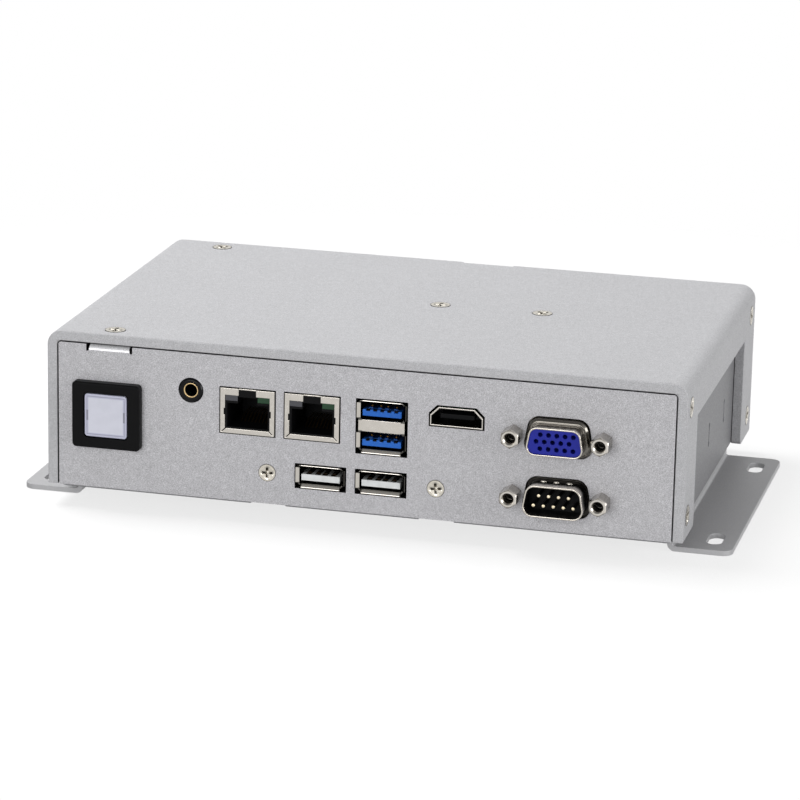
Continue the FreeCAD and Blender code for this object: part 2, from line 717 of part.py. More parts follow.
# ============================================================================== brackets
def bracket_right():
    """Z-shaped bracket: slotted foot, low web and a seat screwed under the pan."""
    web = SIDE_X - WEB_INSET
    outer_r = BRACKET_BEND_R + BRACKET_T
    tip = SIDE_X + BRACKET_REACH
    section = [(tip, 0), (web - BRACKET_T, 0, outer_r), (web - BRACKET_T, PAN_Z - BRACKET_T,
               BRACKET_BEND_R), (web - SEAT_W, PAN_Z - BRACKET_T), (web - SEAT_W, PAN_Z),
               (web, PAN_Z, outer_r), (web, BRACKET_T, BRACKET_BEND_R), (tip, BRACKET_T)]
    bracket = prism(section, "y", -BRACKET_L / 2, BRACKET_L / 2)
    plan = [(web - SEAT_W, -BRACKET_L / 2), (tip, -BRACKET_L / 2, BRACKET_CORNER_R),
            (tip, BRACKET_L / 2, BRACKET_CORNER_R), (web - SEAT_W, BRACKET_L / 2)]
    bracket = bracket.common(prism(plan, "z", 0, PAN_Z))
    slots = [prism(rectangle(SIDE_X + SLOT_OUT, end * SLOT_PITCH / 2, SLOT_W, SLOT_L - SLOT_W),
                   "z", 0, BRACKET_T) for end in (-1, 1)]
    for end in (-1, 1):
        for tail in (-1, 1):
            y = end * SLOT_PITCH / 2 + tail * (SLOT_L - SLOT_W) / 2
            slots.append(rod("z", SIDE_X + SLOT_OUT, y, SLOT_W / 2, 0, BRACKET_T))
    slots += [hole("z", x, y, 0, PAN_Z) for x, y in seat_screw_places() if x > 0]
    return bracket.cut(slots)


# ============================================================================== screws
def side_screws():
    """Countersunk screws in both sides of the cover."""
    screws = []
    for y, z in side_screw_places():
        screws += [csk_screw("x", y, z, SIDE_X, -1), csk_screw("x", y, z, -SIDE_X, 1)]
    return group(screws)


def top_screws():
    """Countersunk screws into the two tabs."""
    return group([csk_screw("z", x, y, TOP_Z, -1) for x, y in tab_screw_places()])


def heat_screws():
    """Countersunk screws into the heat block."""
    return group([csk_screw("z", x, y, TOP_Z, -1, HEAT_SCREW_LENGTH)
                  for x, y in heat_screw_places()])


def panel_screws():
    """Small countersunk screws in the front and rear panels."""
    z = EDGE_Z + PANEL_SCREW_Z
    faces = [(FRONT_Y, 1), (REAR_Y, -1)]
    return group([csk_screw("y", x, z, face, inward, FLAT_LENGTH, FLAT_HEAD_R, FLAT_HEAD_H)
                  for face, inward in faces for x in PANEL_SCREW_X])


def bracket_screws():
    """Bevelled screws that hold the brackets from below."""
    return group([pan_screw("z", x, y, PAN_Z - BRACKET_T, 1) for x, y in seat_screw_places()])


def board_screws():
    """Hexagonal screws on top of both boards."""
    screws = [hex_screw(x, y, MAIN_UNDER + BOARD_T) for x, y in main_hole_places()]
    screws += [hex_screw(x, y, PORT_UNDER + BOARD_T) for x, y in port_hole_places()]
    return group(screws)


# ============================================================================== boards
def standoffs(places, under):
    """Hex pillars from the pan's floor to the underside of a board, tapped at the top."""
    pillars = []
    for x, y in places:
        pillar = prism(hexagon(x, y, STANDOFF_AF), "z", FLOOR_Z, under)
        pillars.append(pillar.cut(rod("z", x, y, SCREW_R + THREAD_GAP,
                                      under - BOARD_SCREW_LENGTH, under)))
    return group(pillars)


def board(left, right, depth, under, places):
    """Circuit board with its mounting holes."""
    plate = box(left, right, BOARD_FRONT_Y, BOARD_FRONT_Y + depth, under, under + BOARD_T)
    return plate.cut([hole("z", hx, hy, under, under + BOARD_T) for hx, hy in places])


def cpu():
    """Processor package on top of the main board, under the heat block."""
    z = MAIN_UNDER + BOARD_T
    return box(HEAT_X - CPU_W / 2, HEAT_X + CPU_W / 2, HEAT_Y - CPU_D / 2, HEAT_Y + CPU_D / 2,
               z, z + CPU_H)


def thermal_pad():
    """Soft pad between the processor and the heat block."""
    z = MAIN_UNDER + BOARD_T + CPU_H
    return box(HEAT_X - CPU_W / 2, HEAT_X + CPU_W / 2, HEAT_Y - CPU_D / 2, HEAT_Y + CPU_D / 2,
               z, z + PAD_T)


def heat_block():
    """Aluminium block that carries the processor's heat to the cover."""
    z = MAIN_UNDER + BOARD_T + CPU_H + PAD_T
    block = box(HEAT_X - HEAT_W / 2, HEAT_X + HEAT_W / 2, HEAT_Y - HEAT_D / 2, HEAT_Y + HEAT_D / 2,
                z, ROOF_Z)
    bores = [rod("z", x, y, SCREW_R + THREAD_GAP, TOP_Z - HEAT_SCREW_LENGTH, ROOF_Z)
             for x, y in heat_screw_places()]
    return block.cut(bores)


def memory_socket():
    """Low socket that holds the memory module flat over the main board."""
    z = MAIN_UNDER + BOARD_T
    x0 = DIMM_X - DIMM_W / 2
    body = box(x0 - SOCKET_W / 2, x0 + SOCKET_W / 2, DIMM_Y - DIMM_L / 2, DIMM_Y + DIMM_L / 2,
               z, z + SOCKET_H)
    groove = box(x0, x0 + SOCKET_W / 2, DIMM_Y - DIMM_L / 2, DIMM_Y + DIMM_L / 2,
                 z + DIMM_LIFT, z + DIMM_LIFT + DIMM_T)
    return body.cut(groove)


def memory_module():
    """Memory module with its edge in the socket."""
    z = MAIN_UNDER + BOARD_T + DIMM_LIFT
    x0 = DIMM_X - DIMM_W / 2
    return box(x0, x0 + DIMM_W, DIMM_Y - DIMM_L / 2, DIMM_Y + DIMM_L / 2, z, z + DIMM_T)


def card_socket():
    """Socket of the storage card on the port board."""
    z = PORT_UNDER + BOARD_T
    y1 = CARD_Y + CARD_L / 2
    body = box(CARD_X - CARD_W / 2, CARD_X + CARD_W / 2, y1 - CARD_SOCKET_D / 2,
               y1 + CARD_SOCKET_D / 2, z, z + CARD_SOCKET_H)
    groove = box(CARD_X - CARD_W / 2, CARD_X + CARD_W / 2, y1 - CARD_SOCKET_D / 2, y1,
                 z + CARD_LIFT, z + CARD_LIFT + CARD_T)
    return body.cut(groove)


def storage_card():
    """Solid-state storage card over the port board."""
    z = PORT_UNDER + BOARD_T + CARD_LIFT
    return box(CARD_X - CARD_W / 2, CARD_X + CARD_W / 2, CARD_Y - CARD_L / 2, CARD_Y + CARD_L / 2,
               z, z + CARD_T)


def cell_holder():
    """Square holder of the clock battery under the main board."""
    z = MAIN_UNDER - CELL_HOLDER_FLOOR - CELL_T
    side = 2 * (CELL_R + CELL_GAP + CELL_HOLDER_WALL)
    cup = prism(rectangle(CELL_X, CELL_Y, side, side), "z", z, MAIN_UNDER)
    return cup.cut(rod("z", CELL_X, CELL_Y, CELL_R + CELL_GAP, z, z + CELL_T))


def clock_cell():
    """Clock battery, held under the main board."""
    z = MAIN_UNDER - CELL_HOLDER_FLOOR - CELL_T
    return rod("z", CELL_X, CELL_Y, CELL_R, z, z + CELL_T)


def board_link():
    """Header between the port board and the main board."""
    return box(LINK_X - LINK_W / 2, LINK_X + LINK_W / 2, LINK_Y - LINK_D / 2, LINK_Y + LINK_D / 2,
               PORT_UNDER + BOARD_T, MAIN_UNDER)


# ============================================================================== network ports
def rj45_mouth(x, base_z):
    """Openings in the shield's front: a mouth with toothed sides, a latch notch, two slits."""
    half = RJ45_W / 2 - RJ45_RIM
    notch = RJ45_NOTCH_W / 2
    top = base_z + RJ45_H
    shoulder = top - RJ45_FLAP_H
    sill = base_z + RJ45_RIM
    middle = (sill + shoulder) / 2
    mouths = [[(x - half, sill), (x + half, sill), (x + half, shoulder), (x + notch, shoulder),
               (x + notch, top), (x - notch, top), (x - notch, shoulder), (x - half, shoulder)],
              rectangle(x, middle, 2 * (half + RJ45_TOOTH), RJ45_TOOTH_H)]
    slit_end = RJ45_RIM - RJ45_WALL
    for side in (-1, 1):
        inner = (x + side * half, sill)
        outer = (x + side * (half + slit_end), sill - slit_end)
        mouths.append([inner, (inner[0] - side * RJ45_MITRE, sill),
                       (outer[0] - side * RJ45_MITRE, outer[1]), outer])
    return mouths


def rj45_shield(x):
    """Folded metal can with its rim and flaps at the front, open at the rear."""
    base_z = MAIN_UNDER - RJ45_H
    back = PORT_FACE_Y + RJ45_D
    can = prism(rectangle(x, base_z + RJ45_H / 2, RJ45_W, RJ45_H), "y", PORT_FACE_Y, back)
    hollow = prism(rectangle(x, base_z + RJ45_H / 2, RJ45_W - 2 * RJ45_WALL,
                             RJ45_H - 2 * RJ45_WALL), "y", PORT_FACE_Y + RJ45_WALL, back)
    mouths = [prism(corners, "y", PORT_FACE_Y, PORT_FACE_Y + RJ45_WALL)
              for corners in rj45_mouth(x, base_z)]
    return can.cut([hollow, *mouths])


def lamp_block(x, side):
    """Indicator lamp in an upper corner of a network port."""
    x0 = x + side * (RJ45_W / 2 - LAMP_EDGE - LAMP_W / 2)
    z1 = MAIN_UNDER - RJ45_FLAP_H
    face = PORT_FACE_Y + RJ45_WALL
    return box(x0 - LAMP_W / 2, x0 + LAMP_W / 2, face, face + LAMP_D, z1 - LAMP_H, z1)


def rj45_cavity(x):
    """Space for the plug and, above it, for the plug's latch."""
    base_z = MAIN_UNDER - RJ45_H + RJ45_FLOOR
    face = PORT_FACE_Y + RJ45_WALL
    top = base_z + RJ45_CAVITY_H
    plug = box(x - RJ45_CAVITY_W / 2, x + RJ45_CAVITY_W / 2, face, face + RJ45_CAVITY_D,
               base_z, top)
    latch = box(x - RJ45_LATCH_W / 2, x + RJ45_LATCH_W / 2, face, face + RJ45_CAVITY_D,
                top, top + RJ45_LATCH_H)
    return plug.fuse(latch)


def contact(x, index):
    """Spring contact that rises from the floor of the cavity and runs level to its rear wall."""
    x0 = x + (index - (CONTACT_COUNT - 1) / 2) * CONTACT_PITCH
    z = MAIN_UNDER - RJ45_H + RJ45_FLOOR
    start = PORT_FACE_Y + RJ45_WALL + CONTACT_START
    back = PORT_FACE_Y + RJ45_WALL + RJ45_CAVITY_D
    foot = start + CONTACT_T / math.sin(CONTACT_SLOPE)
    slope = math.tan(CONTACT_SLOPE)
    under = CONTACT_RISE - CONTACT_T
    corners = [(start, z), (foot, z), (foot + under / slope, z + under), (back, z + under),
               (back, z + CONTACT_RISE), (start + CONTACT_RISE / slope, z + CONTACT_RISE)]
    return prism(corners, "x", x0 - CONTACT_T / 2, x0 + CONTACT_T / 2)


def rj45_insert(x):
    """Plastic housing that fills the can around the plug cavity and the lamps."""
    base_z = MAIN_UNDER - RJ45_H
    front = PORT_FACE_Y + RJ45_WALL
    back = PORT_FACE_Y + RJ45_D
    body = prism(rectangle(x, base_z + RJ45_H / 2, RJ45_W - 2 * RJ45_WALL,
                           RJ45_H - 2 * RJ45_WALL), "y", front, back)
    return body.cut([rj45_cavity(x), lamp_block(x, -1), lamp_block(x, 1)])


# ============================================================================== USB ports
def usb_mouths(top, rows):
    """Bottom level of each mouth of a shell, from the top down."""
    first = top - USB_WALL - USB_MOUTH_H
    return [first - row * (USB_MOUTH_H + USB_BAND) for row in range(rows)]


def usb_section(x, low, grow):
    """Mouth outline with chamfered corners; grow adds the wall."""
    half = USB_W / 2 - USB_WALL + grow
    low, high = low - grow, low + USB_MOUTH_H + grow
    c = USB_CORNER
    return [(x - half + c, low), (x + half - c, low), (x + half, low + c), (x + half, high - c),
            (x + half - c, high), (x - half + c, high), (x - half, high - c), (x - half, low + c)]


def usb_shell(x, top, rows):
    """Plated shell with one or two mouths and flared lips at the sides and the bottom."""
    back = PORT_FACE_Y + USB_DEPTH
    lows = usb_mouths(top, rows)
    bottom = lows[-1] - USB_WALL
    c = USB_CORNER
    half = USB_W / 2
    can = prism([(x - half + c, bottom), (x + half - c, bottom), (x + half, bottom + c),
                 (x + half, top - c), (x + half - c, top), (x - half + c, top),
                 (x - half, top - c), (x - half, bottom + c)], "y", PORT_FACE_Y, back)
    can = can.cut([prism(usb_section(x, low, 0), "y", PORT_FACE_Y, back) for low in lows])
    bend = PORT_FACE_Y + USB_FLARE_D
    sill = [(bend, bottom + USB_WALL), (bend, bottom), (PORT_FACE_Y, bottom - USB_SILL),
            (PORT_FACE_Y, bottom - USB_SILL + USB_WALL)]
    left, right = x - USB_SILL_W / 2, x + USB_SILL_W / 2
    lips = [prism(sill, "x", left, right)]
    rooms = [box(left, right, PORT_FACE_Y, bend, bottom, bottom + USB_WALL)]
    for low in lows:
        z0 = low + (USB_MOUTH_H - USB_LIP_H) / 2
        z1 = z0 + USB_LIP_H
        for side in (-1, 1):
            wall, tip = x + side * half, x + side * (half + USB_LIP)
            lips.append(prism([(wall - side * USB_WALL, bend), (wall, bend), (tip, PORT_FACE_Y),
                               (tip - side * USB_WALL, PORT_FACE_Y)], "z", z0, z1))
            rooms.append(box(min(wall, wall - side * USB_WALL), max(wall, wall - side * USB_WALL),
                             PORT_FACE_Y, bend, z0, z1))
    return joined([can.cut(rooms), *lips])


def usb_tongue(x, low, notches):
    """Plastic tongue with its rear block; some tongues have small notches on the top edge."""
    tip = PORT_FACE_Y + USB_TONGUE_SET
    back = PORT_FACE_Y + USB_DEPTH
    z0 = low + USB_TONGUE_LIFT
    z1 = z0 + USB_TONGUE_T
    tongue = box(x - USB_TONGUE_W / 2, x + USB_TONGUE_W / 2, tip, back - USB_BACK, z0, z1)
    block = prism(usb_section(x, low, 0), "y", back - USB_BACK, back)
    piece = joined([tongue, block])
    if notches:
        cuts = [box(x + dx - USB_NOTCH_W / 2, x + dx + USB_NOTCH_W / 2, tip, tip + USB_NOTCH_D,
                    z1 - USB_NOTCH_T, z1) for dx in USB_NOTCH_X]
        piece = piece.cut(cuts)
    return piece


def usb_pins(x, low):
    """Four flat contacts on the upper side of a tongue."""
    z = low + USB_TONGUE_LIFT + USB_TONGUE_T
    y0 = PORT_FACE_Y + USB_TONGUE_SET + USB_NOTCH_D
    y1 = PORT_FACE_Y + USB_DEPTH - USB_BACK
    return [box(x + dx - USB_PIN_W / 2, x + dx + USB_PIN_W / 2, y0, y1, z, z + USB_PIN_T)
            for dx in USB_PIN_X]


def usb3_lows():
    """Levels of the two stacked mouths."""
    return usb_mouths(MAIN_UNDER, 2)


def usb2_low():
    """Level of the single mouths."""
    return usb_mouths(PORT_UNDER, 1)[0]


# ============================================================================== HDMI port
def hdmi_shell():
    """Thin shell with two chamfered upper corners."""
    back = PORT_FACE_Y + HDMI_D
    can = prism(hdmi_shape(0), "y", PORT_FACE_Y, back)
    return can.cut(prism(hdmi_shape(-HDMI_WALL), "y", PORT_FACE_Y, back))


def hdmi_insert():
    """Plastic block at the rear of the shell with a flat tongue."""
    back = PORT_FACE_Y + HDMI_D
    z = MAIN_UNDER - HDMI_H / 2
    tongue = box(HDMI_X - HDMI_TONGUE_W / 2, HDMI_X + HDMI_TONGUE_W / 2,
                 PORT_FACE_Y + HDMI_TONGUE_SET, back - HDMI_BACK,
                 z - HDMI_TONGUE_T / 2, z + HDMI_TONGUE_T / 2)
    block = prism(hdmi_shape(-HDMI_WALL), "y", back - HDMI_BACK, back)
    return joined([tongue, block])


# ============================================================================== D connectors
def dsub_plate(z):
    """Flat flange behind the panel with two holes."""
    y0, y1 = PANEL_BACK_Y, PANEL_BACK_Y + DSUB_PLATE_T
    plate = prism(rectangle(DSUB_X, z, DSUB_PLATE_W, DSUB_PLATE_H, DSUB_PLATE_R), "y", y0, y1)
    return plate.cut([rod("y", DSUB_X + side * DSUB_SCREW_PITCH / 2, z, JACK_STUD_R + SCREW_GAP,
                          y0, y1) for side in (-1, 1)])


def vga_shell():
    """Drawn shell: wide bevelled base and a narrower tube, on a flat flange."""
    z = EDGE_Z + VGA_Z
    base_y = FRONT_Y - VGA_BASE_PROUD
    face = FRONT_Y - VGA_PROUD
    back = PANEL_BACK_Y + DSUB_PLATE_T
    base = prism(dshape(DSUB_X, z, VGA_BASE_W, VGA_BASE_H, VGA_BASE_R), "y", base_y, back)
    rim = [e for e in base.Edges if abs(e.BoundBox.YMax - base_y) < TINY]
    base = base.makeChamfer(VGA_BASE_EDGE, rim)
    tube = prism(dshape(DSUB_X, z, VGA_SHELL_W, VGA_SHELL_H, VGA_SHELL_R), "y", face, back)
    inner = dshape(DSUB_X, z, VGA_SHELL_W - 2 * DSUB_WALL, VGA_SHELL_H - 2 * DSUB_WALL,
                   VGA_SHELL_R - DSUB_WALL)
    return joined([dsub_plate(z), base, tube]).cut(prism(inner, "y", face, back))


def vga_hole_places():
    """(x, z) of the fifteen contact holes."""
    z = EDGE_Z + VGA_Z
    places = []
    for row, shift in ((1, VGA_STAGGER), (0, -VGA_STAGGER), (-1, VGA_STAGGER)):
        places += [(DSUB_X + shift + i * VGA_PITCH, z + row * VGA_ROW) for i in range(-2, 3)]
    return places


def body_section(z, under):
    """Rear body of a D connector, reaching up to its board."""
    low = z - DSUB_BODY_H / 2
    return rectangle(DSUB_X, (low + under) / 2, DSUB_BODY_W, under - low)


def vga_insert():
    """Plastic insert with its contact holes and the body that hangs from the main board."""
    z = EDGE_Z + VGA_Z
    face = FRONT_Y - VGA_PROUD + DSUB_WALL
    back = PANEL_BACK_Y + DSUB_PLATE_T
    core = prism(dshape(DSUB_X, z, VGA_SHELL_W - 2 * DSUB_WALL, VGA_SHELL_H - 2 * DSUB_WALL,
                        VGA_SHELL_R - DSUB_WALL), "y", face, back)
    body = prism(body_section(z, MAIN_UNDER), "y", back, back + DSUB_BODY_D)
    holes = [rod("y", x, hz, VGA_HOLE_R, face, face + VGA_HOLE_D) for x, hz in vga_hole_places()]
    return joined([core, body]).cut(holes)


def serial_shell():
    """Open shell round the pins of the serial port, on a flat flange."""
    z = EDGE_Z + SERIAL_Z
    face = FRONT_Y - SERIAL_PROUD
    back = PANEL_BACK_Y + DSUB_PLATE_T
    tube = prism(dshape(DSUB_X, z, SERIAL_SHELL_W, SERIAL_SHELL_H, SERIAL_SHELL_R),
                 "y", face, back)
    inner = dshape(DSUB_X, z, SERIAL_SHELL_W - 2 * DSUB_WALL, SERIAL_SHELL_H - 2 * DSUB_WALL,
                   SERIAL_SHELL_R - DSUB_WALL)
    return joined([dsub_plate(z), tube]).cut(prism(inner, "y", face, back))


def serial_insert():
    """Plastic floor of the serial port and the body that hangs from the port board."""
    z = EDGE_Z + SERIAL_Z
    face = FRONT_Y + SERIAL_FLOOR
    back = PANEL_BACK_Y + DSUB_PLATE_T
    core = prism(dshape(DSUB_X, z, SERIAL_SHELL_W - 2 * DSUB_WALL, SERIAL_SHELL_H - 2 * DSUB_WALL,
                        SERIAL_SHELL_R - DSUB_WALL), "y", face, back)
    body = prism(body_section(z, PORT_UNDER), "y", back, back + DSUB_BODY_D)
    return joined([core, body])


def serial_pins():
    """Nine pins in rows of four and five, standing on the insert."""
    z = EDGE_Z + SERIAL_Z
    pins = []
    for count, row in ((4, 1), (5, -1)):
        for i in range(count):
            x = DSUB_X + (i - (count - 1) / 2) * SERIAL_PITCH
            pins.append(rod("y", x, z + row * SERIAL_ROW, SERIAL_PIN_R,
                            FRONT_Y - SERIAL_PIN_PROUD, FRONT_Y + SERIAL_FLOOR))
    return group(pins)


def jackscrews():
    """Hex jackscrews with a bore in front and a stud through panel and flange."""
    screws = []
    tip = FRONT_Y - JACK_L
    for x, z in jackscrew_places():
        hexed = prism(hexagon(x, z, JACK_AF), "y", tip, FRONT_Y)
        stud = rod("y", x, z, JACK_STUD_R, FRONT_Y, FRONT_Y + JACK_STUD_L)
        bore = rod("y", x, z, JACK_BORE_R, tip, tip + JACK_BORE_D)
        screws.append(joined([hexed, stud]).cut(bore))
    return group(screws)


# ============================================================================== audio jack
def audio_body():
    """Body under the main board with a bevelled barrel through the panel."""
    z = EDGE_Z + AUDIO_Z
    shoulder = PORT_FACE_Y + AUDIO_EDGE
    barrel = rod("y", AUDIO_X, z, AUDIO_R, shoulder, FRONT_Y + BOARD_SETBACK - AUDIO_GAP)
    nose = cone("y", AUDIO_X, z, AUDIO_R, AUDIO_R - AUDIO_EDGE, shoulder, PORT_FACE_Y)
    body = box(AUDIO_X - AUDIO_BODY_W / 2, AUDIO_X + AUDIO_BODY_W / 2, PANEL_BACK_Y,
               PANEL_BACK_Y + AUDIO_BODY_D, MAIN_UNDER - AUDIO_BODY_H, MAIN_UNDER)
    bore = rod("y", AUDIO_X, z, AUDIO_BORE_R, PORT_FACE_Y, PORT_FACE_Y + AUDIO_BORE_D)
    seat = rod("y", AUDIO_X, z, AUDIO_RING_R, PORT_FACE_Y, PORT_FACE_Y + AUDIO_RING_D)
    return joined([barrel, nose, body]).cut([bore, seat])


def audio_ring():
    """Contact ring set back in the mouth of the audio jack."""
    z = EDGE_Z + AUDIO_Z
    front, back = PORT_FACE_Y + AUDIO_RING_SET, PORT_FACE_Y + AUDIO_RING_D
    ring = rod("y", AUDIO_X, z, AUDIO_RING_R, front, back)
    return ring.cut(rod("y", AUDIO_X, z, AUDIO_BORE_R, front, back))


# ============================================================================== power switch
def sleeve_size():
    """Outer side of the square sleeve behind the bezel: room for the cap's skirt and a wall."""
    return CAP_W + 2 * (CAP_SKIRT + CAP_SLIDE + SLEEVE_WALL)


def cap_face_y():
    """Front face of the cap at rest."""
    return FRONT_Y - BEZEL_PROUD + CAP_RECESS


def square(side, radius=0.0):
    """Square outline about the middle of the switch."""
    return rectangle(SWITCH_X, EDGE_Z + SWITCH_Z, side, side, radius)


def switch_bezel():
    """Black bezel on the panel with the sleeve that passes through it."""
    front = FRONT_Y - BEZEL_PROUD
    plate = prism(rectangle(SWITCH_X, EDGE_Z + SWITCH_Z, BEZEL_W, BEZEL_H, BEZEL_CORNER_R),
                  "y", front, FRONT_Y)
    rim = [e for e in plate.Edges if abs(e.BoundBox.YMax - front) < TINY]
    plate = plate.makeChamfer(BEZEL_EDGE, rim)
    sleeve = prism(square(sleeve_size()), "y", FRONT_Y, FRONT_Y + SLEEVE_D)
    mouth = prism(square(CAP_W + 2 * CAP_SLIDE, CAP_CORNER_R + CAP_SLIDE), "y",
                  front, FRONT_Y + SLEEVE_D)
    room = prism(square(sleeve_size() - 2 * SLEEVE_WALL), "y", skirt_y() - STOP_GAP,
                 FRONT_Y + SLEEVE_D)
    return joined([plate, sleeve]).cut([mouth, room])


def skirt_y():
    """Front of the cap's skirt at rest."""
    return cap_face_y() + CAP_D - CAP_SKIRT_L


def button_cap():
    """Clear square cap, hollow from behind, with an outward skirt at its rear."""
    front = cap_face_y()
    back = front + CAP_D
    tube = prism(square(CAP_W, CAP_CORNER_R), "y", front, back)
    skirt = prism(square(CAP_W + 2 * CAP_SKIRT), "y", skirt_y(), back)
    hollow = prism(square(CAP_W - 2 * CAP_WALL), "y", front + CAP_FRONT_T, back)
    return joined([tube, skirt]).cut(hollow)


def button_diffuser():
    """White plate seated behind the clear front."""
    front = cap_face_y() + CAP_FRONT_T
    return prism(square(CAP_W - 2 * CAP_WALL - 2 * DIFFUSER_GAP), "y", front, front + DIFFUSER_T)


def button_plunger():
    """Stem from the diffuser into the switch body, with a collar the size of the hollow."""
    front = cap_face_y() + CAP_FRONT_T + DIFFUSER_T
    back = cap_face_y() + CAP_D
    collar = prism(square(CAP_W - 2 * CAP_WALL - 2 * DIFFUSER_GAP), "y", front, back)
    stem = prism(square(PLUNGER_W), "y", back, back + PLUNGER_L)
    return joined([collar, stem])


def switch_body():
    """Contact block behind the sleeve with a well for the plunger."""
    front = FRONT_Y + SLEEVE_D
    back = front + SWITCH_BODY_D
    block = prism(square(sleeve_size()), "y", front, back)
    well_end = cap_face_y() + CAP_D + PLUNGER_L + BUTTON_TRAVEL + STOP_GAP
    well = prism(square(PLUNGER_W + 2 * CAP_SLIDE), "y", front, well_end)
    return block.cut(well)


def switch_terminals():
    """Flat terminals at the rear of the contact block."""
    y0 = FRONT_Y + SLEEVE_D + SWITCH_BODY_D
    z = EDGE_Z + SWITCH_Z
    blades = []
    for dx in (-TERMINAL_PITCH / 2, TERMINAL_PITCH / 2):
        for dz in (-TERMINAL_PITCH / 2, TERMINAL_PITCH / 2):
            blades.append(box(SWITCH_X + dx - TERMINAL_T / 2, SWITCH_X + dx + TERMINAL_T / 2,
                              y0, y0 + TERMINAL_L, z + dz - TERMINAL_W / 2,
                              z + dz + TERMINAL_W / 2))
    return group(blades)


# ============================================================================== power inlet
def inlet_body():
    """Power inlet: square body behind the rear panel and a threaded neck through it."""
    z = EDGE_Z + INLET_Z
    inner_y = REAR_Y - PANEL_T
    mouth = REAR_Y + INLET_PROUD
    neck = rod("y", INLET_X, z, INLET_R, inner_y, mouth)
    body = prism(rectangle(INLET_X, z, INLET_BODY_W, INLET_BODY_W), "y",
                 inner_y - INLET_BODY_D, inner_y)
    bore = rod("y", INLET_X, z, INLET_BORE_R, mouth - INLET_BORE_D, mouth)
    return joined([neck, body]).cut(bore)


def inlet_pin():
    """Centre pin of the power inlet."""
    mouth = REAR_Y + INLET_PROUD
    return rod("y", INLET_X, EDGE_Z + INLET_Z, INLET_PIN_R, mouth - INLET_BORE_D,
               mouth - INLET_PIN_SET)


def inlet_nut():
    """Hex nut that clamps the inlet to the rear panel."""
    z = EDGE_Z + INLET_Z
    blank = prism(hexagon(INLET_X, z, INLET_NUT_AF), "y", REAR_Y, REAR_Y + INLET_NUT_T)
    return blank.cut(rod("y", INLET_X, z, INLET_R + THREAD_GAP, REAR_Y, REAR_Y + INLET_NUT_T))


# ============================================================================== all nodes
def nodes():
    """Every node by its name."""
    main_holes, port_holes = main_hole_places(), port_hole_places()
    bracket = bracket_right()
    contacts = [contact(x, i) for x in RJ45_X for i in range(CONTACT_COUNT)]
    return {
        "top_cover": top_cover(),
        "base_pan": base_pan(),
        "front_panel": front_panel(),
        "rear_panel": rear_panel(),
        "bracket_right": bracket,
        "bracket_left": mirrored(bracket),
        "clinch_nuts": clinch_nuts(),
        "side_screws": side_screws(),
        "top_screws": top_screws(),
        "heat_screws": heat_screws(),
        "panel_screws": panel_screws(),
        "bracket_screws": bracket_screws(),
        "board_screws": board_screws(),
        "main_standoffs": standoffs(main_holes, MAIN_UNDER),
        "port_standoffs": standoffs(port_holes, PORT_UNDER),
        "main_board": board(MAIN_LEFT, MAIN_RIGHT, MAIN_D, MAIN_UNDER, main_holes),
        "port_board": board(PORT_LEFT, PORT_RIGHT, PORT_BOARD_D, PORT_UNDER, port_holes),
        "board_link": board_link(),
        "cpu": cpu(),
        "thermal_pad": thermal_pad(),
        "heat_block": heat_block(),
        "memory_socket": memory_socket(),
        "memory_module": memory_module(),
        "card_socket": card_socket(),
        "storage_card": storage_card(),
        "cell_holder": cell_holder(),
        "clock_cell": clock_cell(),
        "rj45_shields": group([rj45_shield(x) for x in RJ45_X]),
        "rj45_inserts": group([rj45_insert(x) for x in RJ45_X]),
        "rj45_contacts": group(contacts),
        "lamps_clear": group([lamp_block(x, -1) for x in RJ45_X]),
        "lamps_green": group([lamp_block(x, 1) for x in RJ45_X]),
        "usb3_shell": usb_shell(USB3_X, MAIN_UNDER, 2),
        "usb3_tongues": group([usb_tongue(USB3_X, low, True) for low in usb3_lows()]),
        "usb3_pins": group([pin for low in usb3_lows() for pin in usb_pins(USB3_X, low)]),
        "usb2_shells": group([usb_shell(x, PORT_UNDER, 1) for x in USB2_X]),
        "usb2_tongues": group([usb_tongue(x, usb2_low(), False) for x in USB2_X]),
        "usb2_pins": group([pin for x in USB2_X for pin in usb_pins(x, usb2_low())]),
        "hdmi_shell": hdmi_shell(),
        "hdmi_insert": hdmi_insert(),
        "vga_shell": vga_shell(),
        "vga_insert": vga_insert(),
        "serial_shell": serial_shell(),
        "serial_insert": serial_insert(),
        "serial_pins": serial_pins(),
        "jackscrews": jackscrews(),
        "audio_body": audio_body(),
        "audio_ring": audio_ring(),
        "switch_bezel": switch_bezel(),
        "switch_body": switch_body(),
        "switch_terminals": switch_terminals(),
        "button_cap": button_cap(),
        "button_diffuser": button_diffuser(),
        "button_plunger": button_plunger(),
        "inlet_body": inlet_body(),
        "inlet_pin": inlet_pin(),
        "inlet_nut": inlet_nut(),
    }


os.makedirs("parts", exist_ok=True)
for name, shape in nodes().items():
    shape.exportStep(f"parts/{name}.step")
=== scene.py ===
import json
import logging
import math
from dataclasses import dataclass, field, replace
from enum import Enum
from typing import Callable, Iterable, Sequence

import bmesh
import bpy
import numpy as np
from mathutils import Matrix, Vector


